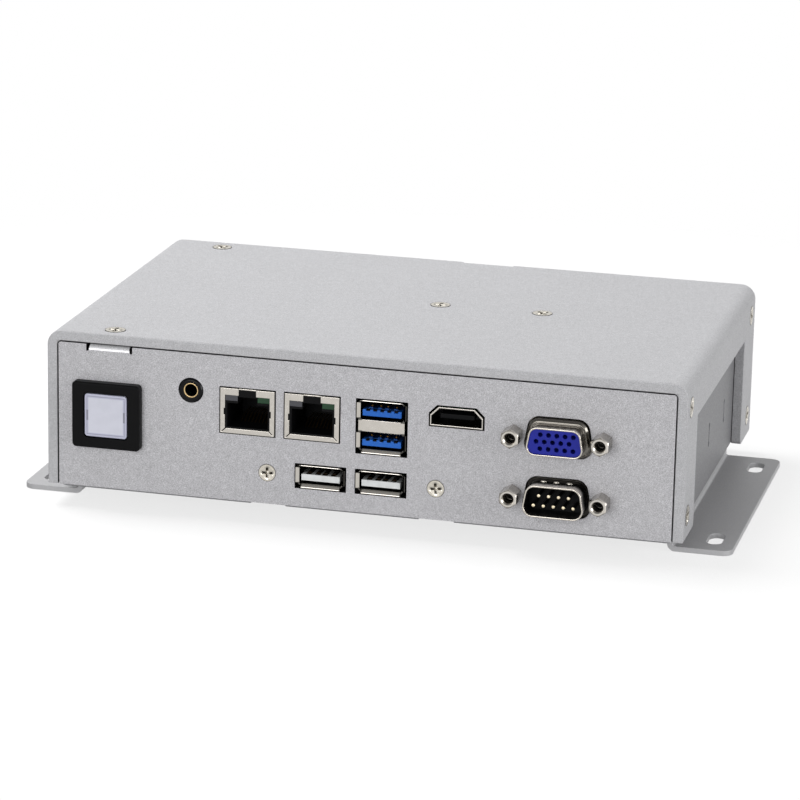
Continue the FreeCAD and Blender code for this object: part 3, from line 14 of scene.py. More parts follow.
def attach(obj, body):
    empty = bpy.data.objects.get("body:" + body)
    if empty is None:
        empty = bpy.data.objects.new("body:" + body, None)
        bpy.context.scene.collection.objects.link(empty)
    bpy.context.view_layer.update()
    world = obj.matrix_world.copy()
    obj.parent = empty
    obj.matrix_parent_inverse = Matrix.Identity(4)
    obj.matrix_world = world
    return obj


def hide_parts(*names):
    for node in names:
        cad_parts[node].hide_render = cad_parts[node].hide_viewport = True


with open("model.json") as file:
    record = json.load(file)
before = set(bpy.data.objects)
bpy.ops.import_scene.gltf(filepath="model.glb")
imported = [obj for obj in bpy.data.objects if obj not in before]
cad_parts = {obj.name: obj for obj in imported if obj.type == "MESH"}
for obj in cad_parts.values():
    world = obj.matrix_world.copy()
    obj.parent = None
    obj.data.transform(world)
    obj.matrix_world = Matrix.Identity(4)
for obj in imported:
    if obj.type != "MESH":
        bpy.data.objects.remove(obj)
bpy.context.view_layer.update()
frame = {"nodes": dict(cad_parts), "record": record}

LOG = logging.getLogger("fanless_pc")
MM = 0.001
MERGE = 0.002 * MM          # points nearer than this are one
HOUSING = "housing"
BUTTON = "button"
Color = tuple[float, float, float]
Array = np.ndarray
Material = bpy.types.Material
Mesh = bpy.types.Mesh
Node = bpy.types.Node
Socket = bpy.types.NodeSocket
Outputs = bpy.types.bpy_prop_collection


class Frame:
    """What the pieces need to know of the frame."""

    @staticmethod
    def box(node: str) -> tuple[Array, Array]:
        """Lowest and highest corner of a node, in metres."""
        points = Frame.points(node)
        return points.min(0), points.max(0)

    @staticmethod
    def points(node: str) -> Array:
        """Vertices of a node."""
        vertices = frame["nodes"][node].data.vertices
        points = np.empty(len(vertices) * 3)
        vertices.foreach_get("co", points)
        return points.reshape(-1, 3)

    @staticmethod
    def parts(node: str) -> list[tuple[Array, Array]]:
        """Boxes of a node's loose parts, in order of place."""
        shell = bmesh.new()
        shell.from_mesh(frame["nodes"][node].data)
        bmesh.ops.remove_doubles(shell, verts=shell.verts, dist=MERGE)
        left, found = set(shell.verts), []
        while left:
            stack, island = [left.pop()], []
            while stack:
                vert = stack.pop()
                island.append(vert.co.copy())
                beside = {edge.other_vert(vert) for edge in vert.link_edges} & left
                left -= beside
                stack += beside
            corners = np.array(island)
            found.append((corners.min(0), corners.max(0)))
        shell.free()
        return sorted(found, key=lambda b: tuple((b[0] + b[1]).round(4)))

    @staticmethod
    def mouths() -> list[tuple[Array, Array]]:
        """Boxes of the tongues in the four flat mouths."""
        return Frame.parts("usb3_tongues") + Frame.parts("usb2_tongues")


FRONT_Y, REAR_Y = Frame.box("front_panel")[0][1], Frame.box("rear_panel")[1][1]


# ------------------------------------------------------------------------------ mesh tools
class Facing(Enum):
    """Which way the front of a small piece looks; the value is its (u, v, out) directions."""

    FRONT = ((1, 0, 0), (0, 0, 1), (0, -1, 0))
    REAR = ((-1, 0, 0), (0, 0, 1), (0, 1, 0))
    UP = ((1, 0, 0), (0, 1, 0), (0, 0, 1))
    DOWN = ((1, 0, 0), (0, -1, 0), (0, 0, -1))
    RIGHT = ((0, 1, 0), (0, 0, 1), (1, 0, 0))
    LEFT = ((0, -1, 0), (0, 0, 1), (-1, 0, 0))


@dataclass(frozen=True)
class Spot:
    """A place in the frame where a small piece stands, with the way it faces and its turn."""

    x: float
    y: float
    z: float
    facing: Facing = Facing.FRONT
    turn: float = 0.0

    def carry(self, points: Array) -> Array:
        """Moves local points into the frame: place + u across + v up + w outward.

        Args:
            points: array (..., 3) of (u, v, w) in metres.

        Returns:
            Array of the same shape in frame coordinates.
        """
        across, up, out = (np.array(axis, float) for axis in self.facing.value)
        cos, sin = math.cos(self.turn), math.sin(self.turn)
        u = points[..., 0:1] * cos - points[..., 1:2] * sin
        v = points[..., 0:1] * sin + points[..., 1:2] * cos
        return np.array([self.x, self.y, self.z]) + u * across + v * up + points[..., 2:3] * out


@dataclass(frozen=True)
class Row:
    """Equal small parts side by side on a tongue or a shell.

    The offsets run across from its middle, in millimetres; behind and above are counted, in
    metres, from its front and its top.
    """

    offsets: tuple[float, ...]
    behind: float
    above: float
    facing: Facing = Facing.UP

    def spots(self, low: Array, high: Array, front: float, top: float) -> list[Spot]:
        """Spot of each part between the two ends of a box."""
        middle = (low[0] + high[0]) / 2
        return [Spot(middle + offset * MM, front + self.behind, top + self.above, self.facing)
                for offset in self.offsets]


@dataclass
class Surface:
    """Vertices and faces of one piece while it is put together."""

    points: list[Array] = field(default_factory=list)
    faces: list[list[int]] = field(default_factory=list)
    hollow_shades: list[Array] = field(default_factory=list)
    count: int = 0

    def add(self, points: Array, faces: Iterable[Sequence[int]],
            hollow_shade: Array | None = None) -> None:
        """Adds vertices and the faces that use them.

        Args:
            points: array (n, 3) in metres.
            faces: vertex numbers counted from the start of these points.
            hollow_shade: share of painted shade, 1 for a point deep in a recess or a gap, 0 for an
                open one.
        """
        self.faces += [[self.count + int(i) for i in face] for face in faces]
        self.points.append(np.asarray(points, float).reshape(-1, 3))
        added = len(self.points[-1])
        self.hollow_shades.append(np.zeros(added) if hollow_shade is None else hollow_shade.ravel())
        self.count += added

    def add_rings(self, rings: Array, hollow_shade: Array | None = None) -> None:
        """Adds a closed tube: ring i meets ring i + 1 point by point, the end rings get a face.

        Args:
            rings: array (rings, points, 3) in metres.
            hollow_shade: share of painted shade, one value per ring, 1 for a ring deep in a
                recess.
        """
        rows, cols = rings.shape[:2]
        row, col = np.arange(rows - 1)[:, None] * cols, np.arange(cols)[None, :]
        beside = (col + 1) % cols
        quads = np.stack([row + col, row + beside, row + cols + beside, row + cols + col], -1)
        ends = [list(range(cols))[::-1], list(range((rows - 1) * cols, rows * cols))]
        self.add(rings, quads.reshape(-1, 4).tolist() + ends,
                 None if hollow_shade is None else np.repeat(hollow_shade, cols))

    def add_dome(self, spot: Spot, half_u: float, half_v: float, height: float,
                 steps: int = 6, around: int = 24) -> None:
        """Adds half an ellipsoid: at angle a the ring has size cos a and height sin a.

        Args:
            spot: middle of its flat side.
            half_u: half width.
            half_v: half depth.
            height: height of its crown.
            steps: rings from the base to near the crown.
            around: points in a ring.
        """
        crown = math.pi / 2 * 0.94
        turn = np.linspace(0, 2 * math.pi, around, endpoint=False)
        rise = np.linspace(0, crown, steps)[:, None]
        rings = np.stack([half_u * np.cos(rise) * np.cos(turn),
                          half_v * np.cos(rise) * np.sin(turn),
                          height * np.sin(rise) * np.ones(around)], axis=-1)
        self.add_rings(spot.carry(rings))

    def add_block(self, spot: Spot, size: tuple[float, float], radius: float,
                  levels: tuple[float, float]) -> None:
        """Adds a block with rounded corners.

        Args:
            spot: place that its levels are counted from.
            size: width and height across the spot.
            radius: radius of the corners.
            levels: where it begins and ends, outward from the spot.
        """
        right, top = size[0] / 2, size[1] / 2
        corners = np.array([(-right, -top), (right, -top), (right, top), (-right, top)])
        ring = rounded_polygon(corners, radius)
        self.add_rings(spot.carry(np.stack(
            [np.hstack([ring, np.full((len(ring), 1), level)]) for level in levels])))

    def piece(self, name: str, material: Material, flat_angle: float = 35.0,
              replaces: Sequence[str] = (), slot: str = "") -> bpy.types.Object:
        """Makes the object on the housing; the arguments are those of settle, and slot is not
        used.
        """
        mesh = bpy.data.meshes.new(name)
        mesh.from_pydata(np.concatenate(self.points).tolist(), [], self.faces)
        shell = bmesh.new()
        shell.from_mesh(mesh)
        bmesh.ops.recalc_face_normals(shell, faces=shell.faces)
        shell.to_mesh(mesh)
        shell.free()
        # Each point's share of painted shade, kept as an attribute that Plating reads.
        hollow_shade = mesh.attributes.new("hollow_shade", "FLOAT", "POINT")
        hollow_shade.data.foreach_set("value", np.concatenate(self.hollow_shades))
        return settle(name, mesh, material, flat_angle, HOUSING, replaces)


def settle(name: str, mesh: Mesh, material: Material, flat_angle: float,
           body: str, replaces: Sequence[str]) -> bpy.types.Object:
    """Args:
        name: name of the piece.
        mesh: finished mesh in frame coordinates.
        material: its finish.
        flat_angle: edges sharper than this many degrees stay sharp.
        body: body of the frame that it rides on.
        replaces: nodes of the frame that it stands for.

    Returns:
        The new object.
    """
    mesh.polygons.foreach_set("use_smooth", np.ones(len(mesh.polygons), bool))
    mesh.set_sharp_from_angle(angle=math.radians(flat_angle))
    mesh.materials.append(material)
    piece = bpy.data.objects.new(name, mesh)
    bpy.context.scene.collection.objects.link(piece)
    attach(piece, body)
    if replaces:
        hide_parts(*replaces)
    LOG.info("piece %s: %d faces", name, len(mesh.polygons))
    return piece


def rounded_polygon(corners: Array, radius: float, steps: int = 2) -> Array:
    """Closed ring of a convex polygon with rounded corners.

    Each corner becomes an arc: its centre lies on the bisector, radius / sin(half angle) from
    the corner, and the arc runs from one side's tangent point to the other's.

    Args:
        corners: array (k, 2), counter-clockwise.
        radius: radius of every corner in metres.
        steps: arc points per corner, less one.

    Returns:
        Array (k * (steps + 1), 2).
    """
    before = np.roll(corners, 1, axis=0) - corners
    after = np.roll(corners, -1, axis=0) - corners
    before /= np.linalg.norm(before, axis=1, keepdims=True)
    after /= np.linalg.norm(after, axis=1, keepdims=True)
    bisector = before + after
    bisector /= np.linalg.norm(bisector, axis=1, keepdims=True)
    half = np.arccos(np.clip((before * after).sum(1), -1, 1)) / 2
    centres = corners + bisector * (radius / np.sin(half))[:, None]
    sweep = math.pi - 2 * half
    middle = np.arctan2(-bisector[:, 1], -bisector[:, 0])
    share = np.linspace(-0.5, 0.5, steps + 1)[None, :]
    angle = middle[:, None] + sweep[:, None] * share
    arc = np.stack([np.cos(angle), np.sin(angle)], axis=-1) * radius
    return (centres[:, None, :] + arc).reshape(-1, 2)


# ------------------------------------------------------------------------------ node groups
class Nodes:
    """Short way to lay nodes in a tree: each call adds one node and wires its inputs."""

    def __init__(self, tree: bpy.types.NodeTree) -> None:
        """Keeps the tree to build in."""
        self.tree = tree

    def feed(self, node: Node, inputs: dict) -> None:
        """Gives inputs of a node, by name or number, a value or a link to a socket."""
        for key, value in inputs.items():
            if isinstance(value, Socket):
                self.tree.links.new(value, node.inputs[key])
            else:
                node.inputs[key].default_value = value

    def add(self, kind: str, inputs: dict | None = None, **settings) -> Node:
        """Adds a node.

        Args:
            kind: node type without its ShaderNode prefix.
            inputs: values or sockets by input name or number.
            **settings: properties of the node.

        Returns:
            The new node.
        """
        node = self.tree.nodes.new(kind if kind.startswith("Node") else "ShaderNode" + kind)
        for name, value in settings.items():
            setattr(node, name, value)
        self.feed(node, inputs or {})
        return node

    def place(self) -> Socket:
        """Object coordinates."""
        return self.add("TexCoord").outputs["Object"]

    def axes(self, place: Socket) -> Outputs:
        """X, Y and Z of a vector."""
        return self.add("SeparateXYZ", {0: place}).outputs

    def math(self, operation: str, a, b=0.0, clamp: bool = False) -> Socket:
        """One step of arithmetic on values or sockets."""
        return self.add("Math", {0: a, 1: b}, operation=operation, use_clamp=clamp).outputs[0]

    def away(self, value: Socket, middle: float) -> Socket:
        """Distance of a value from a middle."""
        return self.math("ABSOLUTE", self.math("SUBTRACT", value, middle))

    def mix(self, factor, a, b, amount: float = 1.0) -> Socket:
        """Blend of two colours; the factor can be scaled by an amount first."""
        if amount != 1.0:
            factor = self.math("MULTIPLY", factor, amount)
        node = self.add("Mix", {"Factor": factor}, data_type="RGBA")
        for name, value in (("A", a), ("B", b)):
            socket = next(s for s in node.inputs if s.name == name and s.type == "RGBA")
            if isinstance(value, Socket):
                self.tree.links.new(value, socket)
            else:
                socket.default_value = (*value, 1.0)
        return next(s for s in node.outputs if s.type == "RGBA")

    def noise(self, place, scale: float, detail: float = 2.0, rough: float = 0.5) -> Socket:
        """Value of a noise at a place."""
        return self.add("TexNoise", {"Vector": place, "Scale": scale, "Detail": detail,
                                     "Roughness": rough}).outputs["Fac"]

    def ramp(self, value, low: float, high: float, bottom: float = 0.0, top: float = 1.0
             ) -> Socket:
        """Value mapped from low..high to bottom..top and clamped."""
        return self.add("MapRange", {"Value": value, "From Min": low, "From Max": high,
                                     "To Min": bottom, "To Max": top}).outputs["Result"]

    def middle(self, value, bottom: float = 0.0, top: float = 1.0) -> Socket:
        """The middle range of a noise stretched to bottom..top."""
        return self.ramp(value, 0.3, 0.7, bottom, top)

    def bump(self, shader: Node, height, depth: float, strength: float) -> None:
        """Feeds a height from 0 to 1, of a real depth in metres, into the shader's normal."""
        node = self.add("Bump", {"Strength": strength, "Distance": depth, "Height": height})
        self.feed(shader, {"Normal": node.outputs["Normal"]})


class Effects:
    """Effects shared by several finishes, each a node group that is built once."""

    _built: dict[str, bpy.types.NodeTree] = {}

    @classmethod
    def _use(cls, nodes: Nodes, name: str, label: str, value: float, outputs: Sequence[str],
             fill: Callable[[Nodes, Socket], Sequence[Socket]]) -> Outputs:
        """Places a group in a material and builds it the first time it is asked for.

        Args:
            nodes: helper of the material.
            name: name of the group.
            label: name of its input.
            value: what this material gives it.
            outputs: names of the group's outputs.
            fill: lays the group's nodes from its input and returns a socket per output.

        Returns:
            Outputs of the placed group.
        """
        if name not in cls._built:
            tree = bpy.data.node_groups.new(name, "ShaderNodeTree")
            for side, names in (("INPUT", (label,)), ("OUTPUT", outputs)):
                for each in names:
                    tree.interface.new_socket(each, in_out=side, socket_type="NodeSocketFloat")
            inner = Nodes(tree)
            given, out = inner.add("NodeGroupInput"), inner.add("NodeGroupOutput")
            inner.feed(out, dict(zip(outputs, fill(inner, given.outputs[label]))))
            cls._built[name] = tree
        return nodes.add("Group", {label: value}, node_tree=cls._built[name]).outputs

    @classmethod
    def grain(cls, nodes: Nodes, scale: float) -> Outputs:
        """Fine grain of a blasted or powder-painted face: sharp specks and a softer cloud."""
        def fill(n: Nodes, size: Socket) -> Sequence[Socket]:
            """Two noises, the fine one near the size given and the soft one six times larger."""
            place = n.place()
            fine = n.noise(place, size, detail=3.0, rough=0.65)
            soft = n.noise(place, n.math("DIVIDE", size, 6.0))
            return n.middle(fine), n.middle(soft)
        return cls._use(nodes, "fine_grain", "Scale", scale, ("Specks", "Cloud"), fill)

    @classmethod
    def wear_and_highlight(cls, nodes: Nodes, width: float) -> Socket:
        """Lighter edges, partly worn and partly painted highlight: 1 where the rounded normal
        leaves the true one, broken up by noise.
        """
        def fill(n: Nodes, reach: Socket) -> Sequence[Socket]:
            """One minus the product of both normals, scaled, times a noise."""
            soft = n.add("Bevel", {"Radius": reach}, samples=4).outputs[0]
            true = n.add("NewGeometry").outputs["Normal"]
            dot = n.add("VectorMath", {0: soft, 1: true}, operation="DOT_PRODUCT")
            edge = n.ramp(n.math("SUBTRACT", 1.0, dot.outputs["Value"]), 0.02, 0.25)
            cloud = n.noise(n.place(), 260.0, detail=4.0, rough=0.7)
            broken = n.ramp(cloud, 0.35, 0.65, 0.25, 1.0)
            return (n.math("MULTIPLY", edge, broken, True),)
        return cls._use(nodes, "edge_wear_and_highlight", "Width", width, ("Edge",), fill)["Edge"]

    @classmethod
    def smudge(cls, nodes: Nodes, scale: float) -> Socket:
        """Faint handling marks: wide soft patches with finer streaks in them."""
        def fill(n: Nodes, size: Socket) -> Sequence[Socket]:
            """A wide noise times a stretched fine one."""
            place = n.place()
            wide = n.ramp(n.noise(place, size, 3.0), 0.4, 0.7)
            squeezed = n.add("Mapping", {"Vector": place, "Rotation": (0.3, 0.5, 0.7),
                                         "Scale": (1.0, 9.0, 4.0)}).outputs[0]
            streaks = n.noise(squeezed, n.math("MULTIPLY", size, 8.0), 3.0)
            return (n.math("MULTIPLY", wide, streaks, True),)
        return cls._use(nodes, "smudge", "Scale", scale, ("Marks",), fill)["Marks"]


# ------------------------------------------------------------------------------ masks
def depth_mask(nodes: Nodes, place: Socket, start: float = 0.4 * MM, reach: float = 2.6 * MM
               ) -> Socket:
    """Mask of painted shade: 1 well behind the faces of both panels, 0 at them.

    Args:
        nodes: helper of the material.
        place: object coordinates.
        start: where it begins to rise, behind the face of either panel.
        reach: how much farther it reaches 1.

    Returns:
        Socket with the mask.
    """
    y = nodes.axes(place)["Y"]
    behind_front = nodes.ramp(y, FRONT_Y + start, FRONT_Y + start + reach)
    before_rear = nodes.ramp(y, REAR_Y - start - reach, REAR_Y - start, 1.0, 0.0)
    return nodes.math("MULTIPLY", behind_front, before_rear)


def panel_mask(nodes: Nodes, place: Socket) -> Socket:
    """Painted shade: 1 on a panel's cut edges and back, which are painted dark, 0 on its face."""
    return depth_mask(nodes, place, 0.12 * MM, 0.25 * MM)


def cover_gap_shade_mask(nodes: Nodes, place: Socket) -> Socket:
    """Painted shade: 1 on the faces of the cover that look at the panels' edges and into the
    housing, which are painted dark.
    """
    gap, soft = 0.42 * MM, 0.1 * MM
    points = Frame.points("front_panel")
    sheet = points[points[:, 1] < FRONT_Y + 0.5 * MM]
    side, top = sheet[:, 0].max() + gap, sheet[:, 2].max() + gap
    axes = nodes.axes(place)
    across = nodes.ramp(nodes.math("ABSOLUTE", axes["X"]), side, side + soft, 1.0, 0.0)
    under = nodes.ramp(axes["Z"], top, top + soft, 1.0, 0.0)
    behind = depth_mask(nodes, place, -0.05 * MM, 0.2 * MM)
    return nodes.math("MULTIPLY", behind, nodes.math("MULTIPLY", across, under))


def mouth_side_shade_mask(nodes: Nodes, place: Socket) -> Socket:
    """Painted shade: 1 on the side walls and corners of the flat mouths, which are painted dark, 0
    between them and on the mid band.
    """
    axes = nodes.axes(place)
    middles = sorted({round(float(low[0] + high[0]) / 2, 6) for low, high in Frame.mouths()})
    nearest, *others = [nodes.away(axes["X"], middle) for middle in middles]
    for other in others:
        nearest = nodes.math("MINIMUM", nearest, other)
    low, high = Frame.box("usb3_tongues")
    band = nodes.away(axes["Z"], float(low[2] + high[2]) / 2)
    return nodes.math("MULTIPLY", nodes.ramp(nearest, 5.3 * MM, 5.6 * MM),
                      nodes.ramp(band, 1.35 * MM, 1.6 * MM))


# ------------------------------------------------------------------------------ finishes
def new_material(name: str) -> tuple[Material, Nodes, Node]:
    """Empty material with its node helper and its Principled shader."""
    material = bpy.data.materials.new(name)
    material.use_nodes = True
    shader = material.node_tree.nodes["Principled BSDF"]
    return material, Nodes(material.node_tree), shader


def scaled(color: Color, factor: float, lift: float = 0.0) -> Color:
    """A colour times a factor plus a lift, no brighter than 1."""
    return tuple(min(c * factor + lift, 1.0) for c in color)


@dataclass(frozen=True)
class GrainedMetal:
    """Silver-grey blasted or flake-painted metal with a fine sparkle.

    The mask says where it is dark because little light reaches it.
    """

    color: Color
    metallic: float = 0.25
    roughness: float = 0.5
    spread: float = 0.08
    grain: float = 1900.0
    contrast: float = 0.09
    relief: float = 0.02 * MM
    # Tone of the painted shade where the mask is 1, as a share of the colour.
    shade_tone: float = 0.03
    mask: Callable[[Nodes, Socket], Socket] | None = None

    def build(self, name: str) -> Material:
        """Base colour and roughness vary with the grain; edges are a little lighter, partly worn
        and partly painted highlight.
        """
        material, n, shader = new_material(name)
        grain = Effects.grain(n, self.grain)
        dark, light = scaled(self.color, 1 - self.contrast), scaled(self.color, 1 + self.contrast)
        speckled = n.mix(grain["Specks"], dark, light)
        clouded = n.mix(grain["Cloud"], speckled, dark, amount=0.25)
        marked = n.mix(Effects.smudge(n, 35.0), clouded, light, amount=0.12)
        worn_and_lit = n.mix(Effects.wear_and_highlight(n, 0.3 * MM), marked, scaled(self.color, 1.3), amount=0.35)
        # Painted shade where the mask is 1.
        hidden = self.mask(n, n.place()) if self.mask else 0.0
        n.feed(shader, {
            "Base Color": n.mix(hidden, worn_and_lit, scaled(self.color, self.shade_tone)),
            "Roughness": n.ramp(grain["Specks"], 0.0, 1.0, self.roughness + self.spread,
                                self.roughness - self.spread),
            "Metallic": self.metallic})
        n.bump(shader, grain["Specks"], self.relief, 0.6)
        return material


@dataclass(frozen=True)
class Plating:
    """Bright plated metal with soft rolling marks and faint tarnish."""

    color: Color
    tarnish: Color
    roughness: float = 0.24
    grain: float = 420.0
    relief: float = 0.004 * MM
    metallic: float = 1.0
    deep: float = 1.0
    start: float = 0.4 * MM
    reach: float = 2.6 * MM
    patches: float = 0.45
    mouth_side_shade: float = 0.0
    # Share of the colour kept in the painted shade of recesses and mouth sides.
    black: float = 0.06

    def build(self, name: str) -> Material:
        """Roughness and colour follow a stretched noise, tarnish gathers in wide patches.

        Faces behind the start, where little light falls in, are darker by the share deep, and
        points marked with hollow_shade are nearly black: both are painted shade.
        """
        material, n, shader = new_material(name)
        place = n.place()
        drawn = n.add("Mapping", {"Vector": place, "Scale": (1.0, 0.12, 1.0)}).outputs[0]
        lines = n.noise(drawn, self.grain * 4, detail=3.0, rough=0.6)
        toned = n.mix(Effects.smudge(n, self.grain), self.color, self.tarnish, self.patches)
        # Lighter edges: partly worn, partly painted highlight.
        worn_and_lit = n.mix(Effects.wear_and_highlight(n, 0.15 * MM), toned, scaled(self.color, 1.2), amount=0.4)
        shaded = n.mix(depth_mask(n, place, self.start, self.reach), worn_and_lit,
                       scaled(self.color, self.deep))
        dark = scaled(self.color, self.black)
        # Painted shade on the side walls and corners of the flat mouths.
        if self.mouth_side_shade:
            shaded = n.mix(mouth_side_shade_mask(n, place), shaded, dark, self.mouth_side_shade)
        hollow_shade = n.add("Attribute", attribute_name="hollow_shade").outputs["Fac"]
        n.feed(shader, {
            "Base Color": n.mix(hollow_shade, shaded, dark, amount=0.92),
            "Roughness": n.middle(lines, self.roughness - 0.04, self.roughness + 0.08),
            "Metallic": self.metallic})
        n.bump(shader, lines, self.relief, 0.4)
        return material


@dataclass(frozen=True)
class Moulding:
    """Moulded plastic with a fine texture and slightly polished edges."""

    color: Color
    roughness: float = 0.4
    grain: float = 2600.0
    relief: float = 0.01 * MM
    coat: float = 0.0
    gloss: float = 0.2
    # Share of the colour kept in the painted shade behind the panels' faces.
    deep: float = 1.0

    def build(self, name: str) -> Material:
        """Fine grain in roughness and bump, paler edges that are partly worn and partly painted
        highlight, a little unevenness of colour, and painted shade behind the panels' faces by the
        share deep.
        """
        material, n, shader = new_material(name)
        grain = Effects.grain(n, self.grain)
        toned = n.mix(grain["Cloud"], self.color, scaled(self.color, 0.86))
        worn_and_lit = n.mix(Effects.wear_and_highlight(n, 0.2 * MM), toned, scaled(self.color, 1.15, 0.03),
                       amount=0.25)
        n.feed(shader, {
            "Base Color": n.mix(depth_mask(n, n.place()), worn_and_lit, scaled(self.color, self.deep)),
            "Roughness": n.ramp(grain["Specks"], 0.0, 1.0, self.roughness - 0.06,
                                self.roughness + 0.08),
            "Coat Weight": self.coat, "Specular IOR Level": self.gloss})
        n.bump(shader, grain["Specks"], self.relief, 0.5)
        return material


@dataclass(frozen=True)
class LitCap:
    """Clear cap of a lit switch: a white square shows inside a paler clear border."""

    middle: tuple[float, float]
    white: Color = (0.71, 0.72, 0.81)
    border: Color = (0.56, 0.57, 0.71)
    shade: Color = (0.22, 0.22, 0.27)
    half_white: float = 5.0 * MM
    white_fade: float = 0.2 * MM
    half_step: float = 5.5 * MM
    step_width: float = 0.12 * MM
    latch_up: tuple[float, float] = (1.4 * MM, 1.6 * MM)
    latch_start: tuple[float, float] = (5.05 * MM, 5.15 * MM)
    latch_end: tuple[float, float] = (5.60 * MM, 5.75 * MM)

    def latch(self, n: Nodes, across: Socket, up: Socket) -> Socket:
        """Mask of the two small latches at the sides of the border."""
        return n.math("MULTIPLY", n.ramp(up, *self.latch_up, 1.0, 0.0),
                      n.math("MULTIPLY", n.ramp(across, *self.latch_start),
                             n.ramp(across, *self.latch_end, 1.0, 0.0)))

    def build(self, name: str) -> Material:
        """Square masks round the middle choose the colour; the border keeps some depth."""
        material, n, shader = new_material(name)
        place = n.axes(n.place())
        across, up = n.away(place["X"], self.middle[0]), n.away(place["Z"], self.middle[1])
        square = n.math("MAXIMUM", across, up)
        inside = n.ramp(square, self.half_white, self.half_white + self.white_fade, 1.0, 0.0)
        step = n.math("MULTIPLY", n.ramp(square, self.half_step - self.step_width, self.half_step),
                      n.ramp(square, self.half_step, self.half_step + self.step_width, 1.0, 0.0))
        marks = Effects.smudge(n, 300.0)
        lined = n.mix(step, self.border, self.shade, amount=0.7)
        latched = n.mix(self.latch(n, across, up), lined, self.shade, amount=0.8)
        toned = n.mix(inside, latched, self.white)
        n.feed(shader, {"Base Color": n.mix(marks, toned, self.shade, amount=0.15),
                        "Roughness": n.ramp(marks, 0.0, 1.0, 0.12, 0.24),
                        "Coat Weight": n.ramp(inside, 0.0, 1.0, 0.5, 0.0),
                        "Specular IOR Level": 0.35})
        n.bump(shader, n.math("SUBTRACT", 1.0, step), 0.1 * MM, 0.8)
        return material


@dataclass(frozen=True)
class CircuitBoard:
    """Green solder resist with tracks shown as slightly raised lighter lines."""

    color: Color

    def build(self, name: str) -> Material:
        """A brick pattern of thin lines gives the tracks, noise varies the gloss."""
        material, n, shader = new_material(name)
        place = n.place()
        tracks = n.add("TexBrick", {"Vector": place, "Scale": 120.0,
                                    "Mortar Size": 0.03}).outputs["Fac"]
        n.feed(shader, {"Base Color": n.mix(tracks, self.color, scaled(self.color, 1.7, 0.02)),
                        "Roughness": n.middle(n.noise(place, 300.0), 0.3, 0.45)})
        n.bump(shader, tracks, 0.03 * MM, 0.6)
        return material


NICKEL, NICKEL_DULL = (0.76, 0.72, 0.66), (0.54, 0.49, 0.41)
DRAWN = Plating((0.74, 0.69, 0.62), NICKEL_DULL, 0.18, relief=0.001 * MM, patches=0.2)
BRIGHT = Plating(NICKEL, NICKEL_DULL, 0.16, patches=0.25)


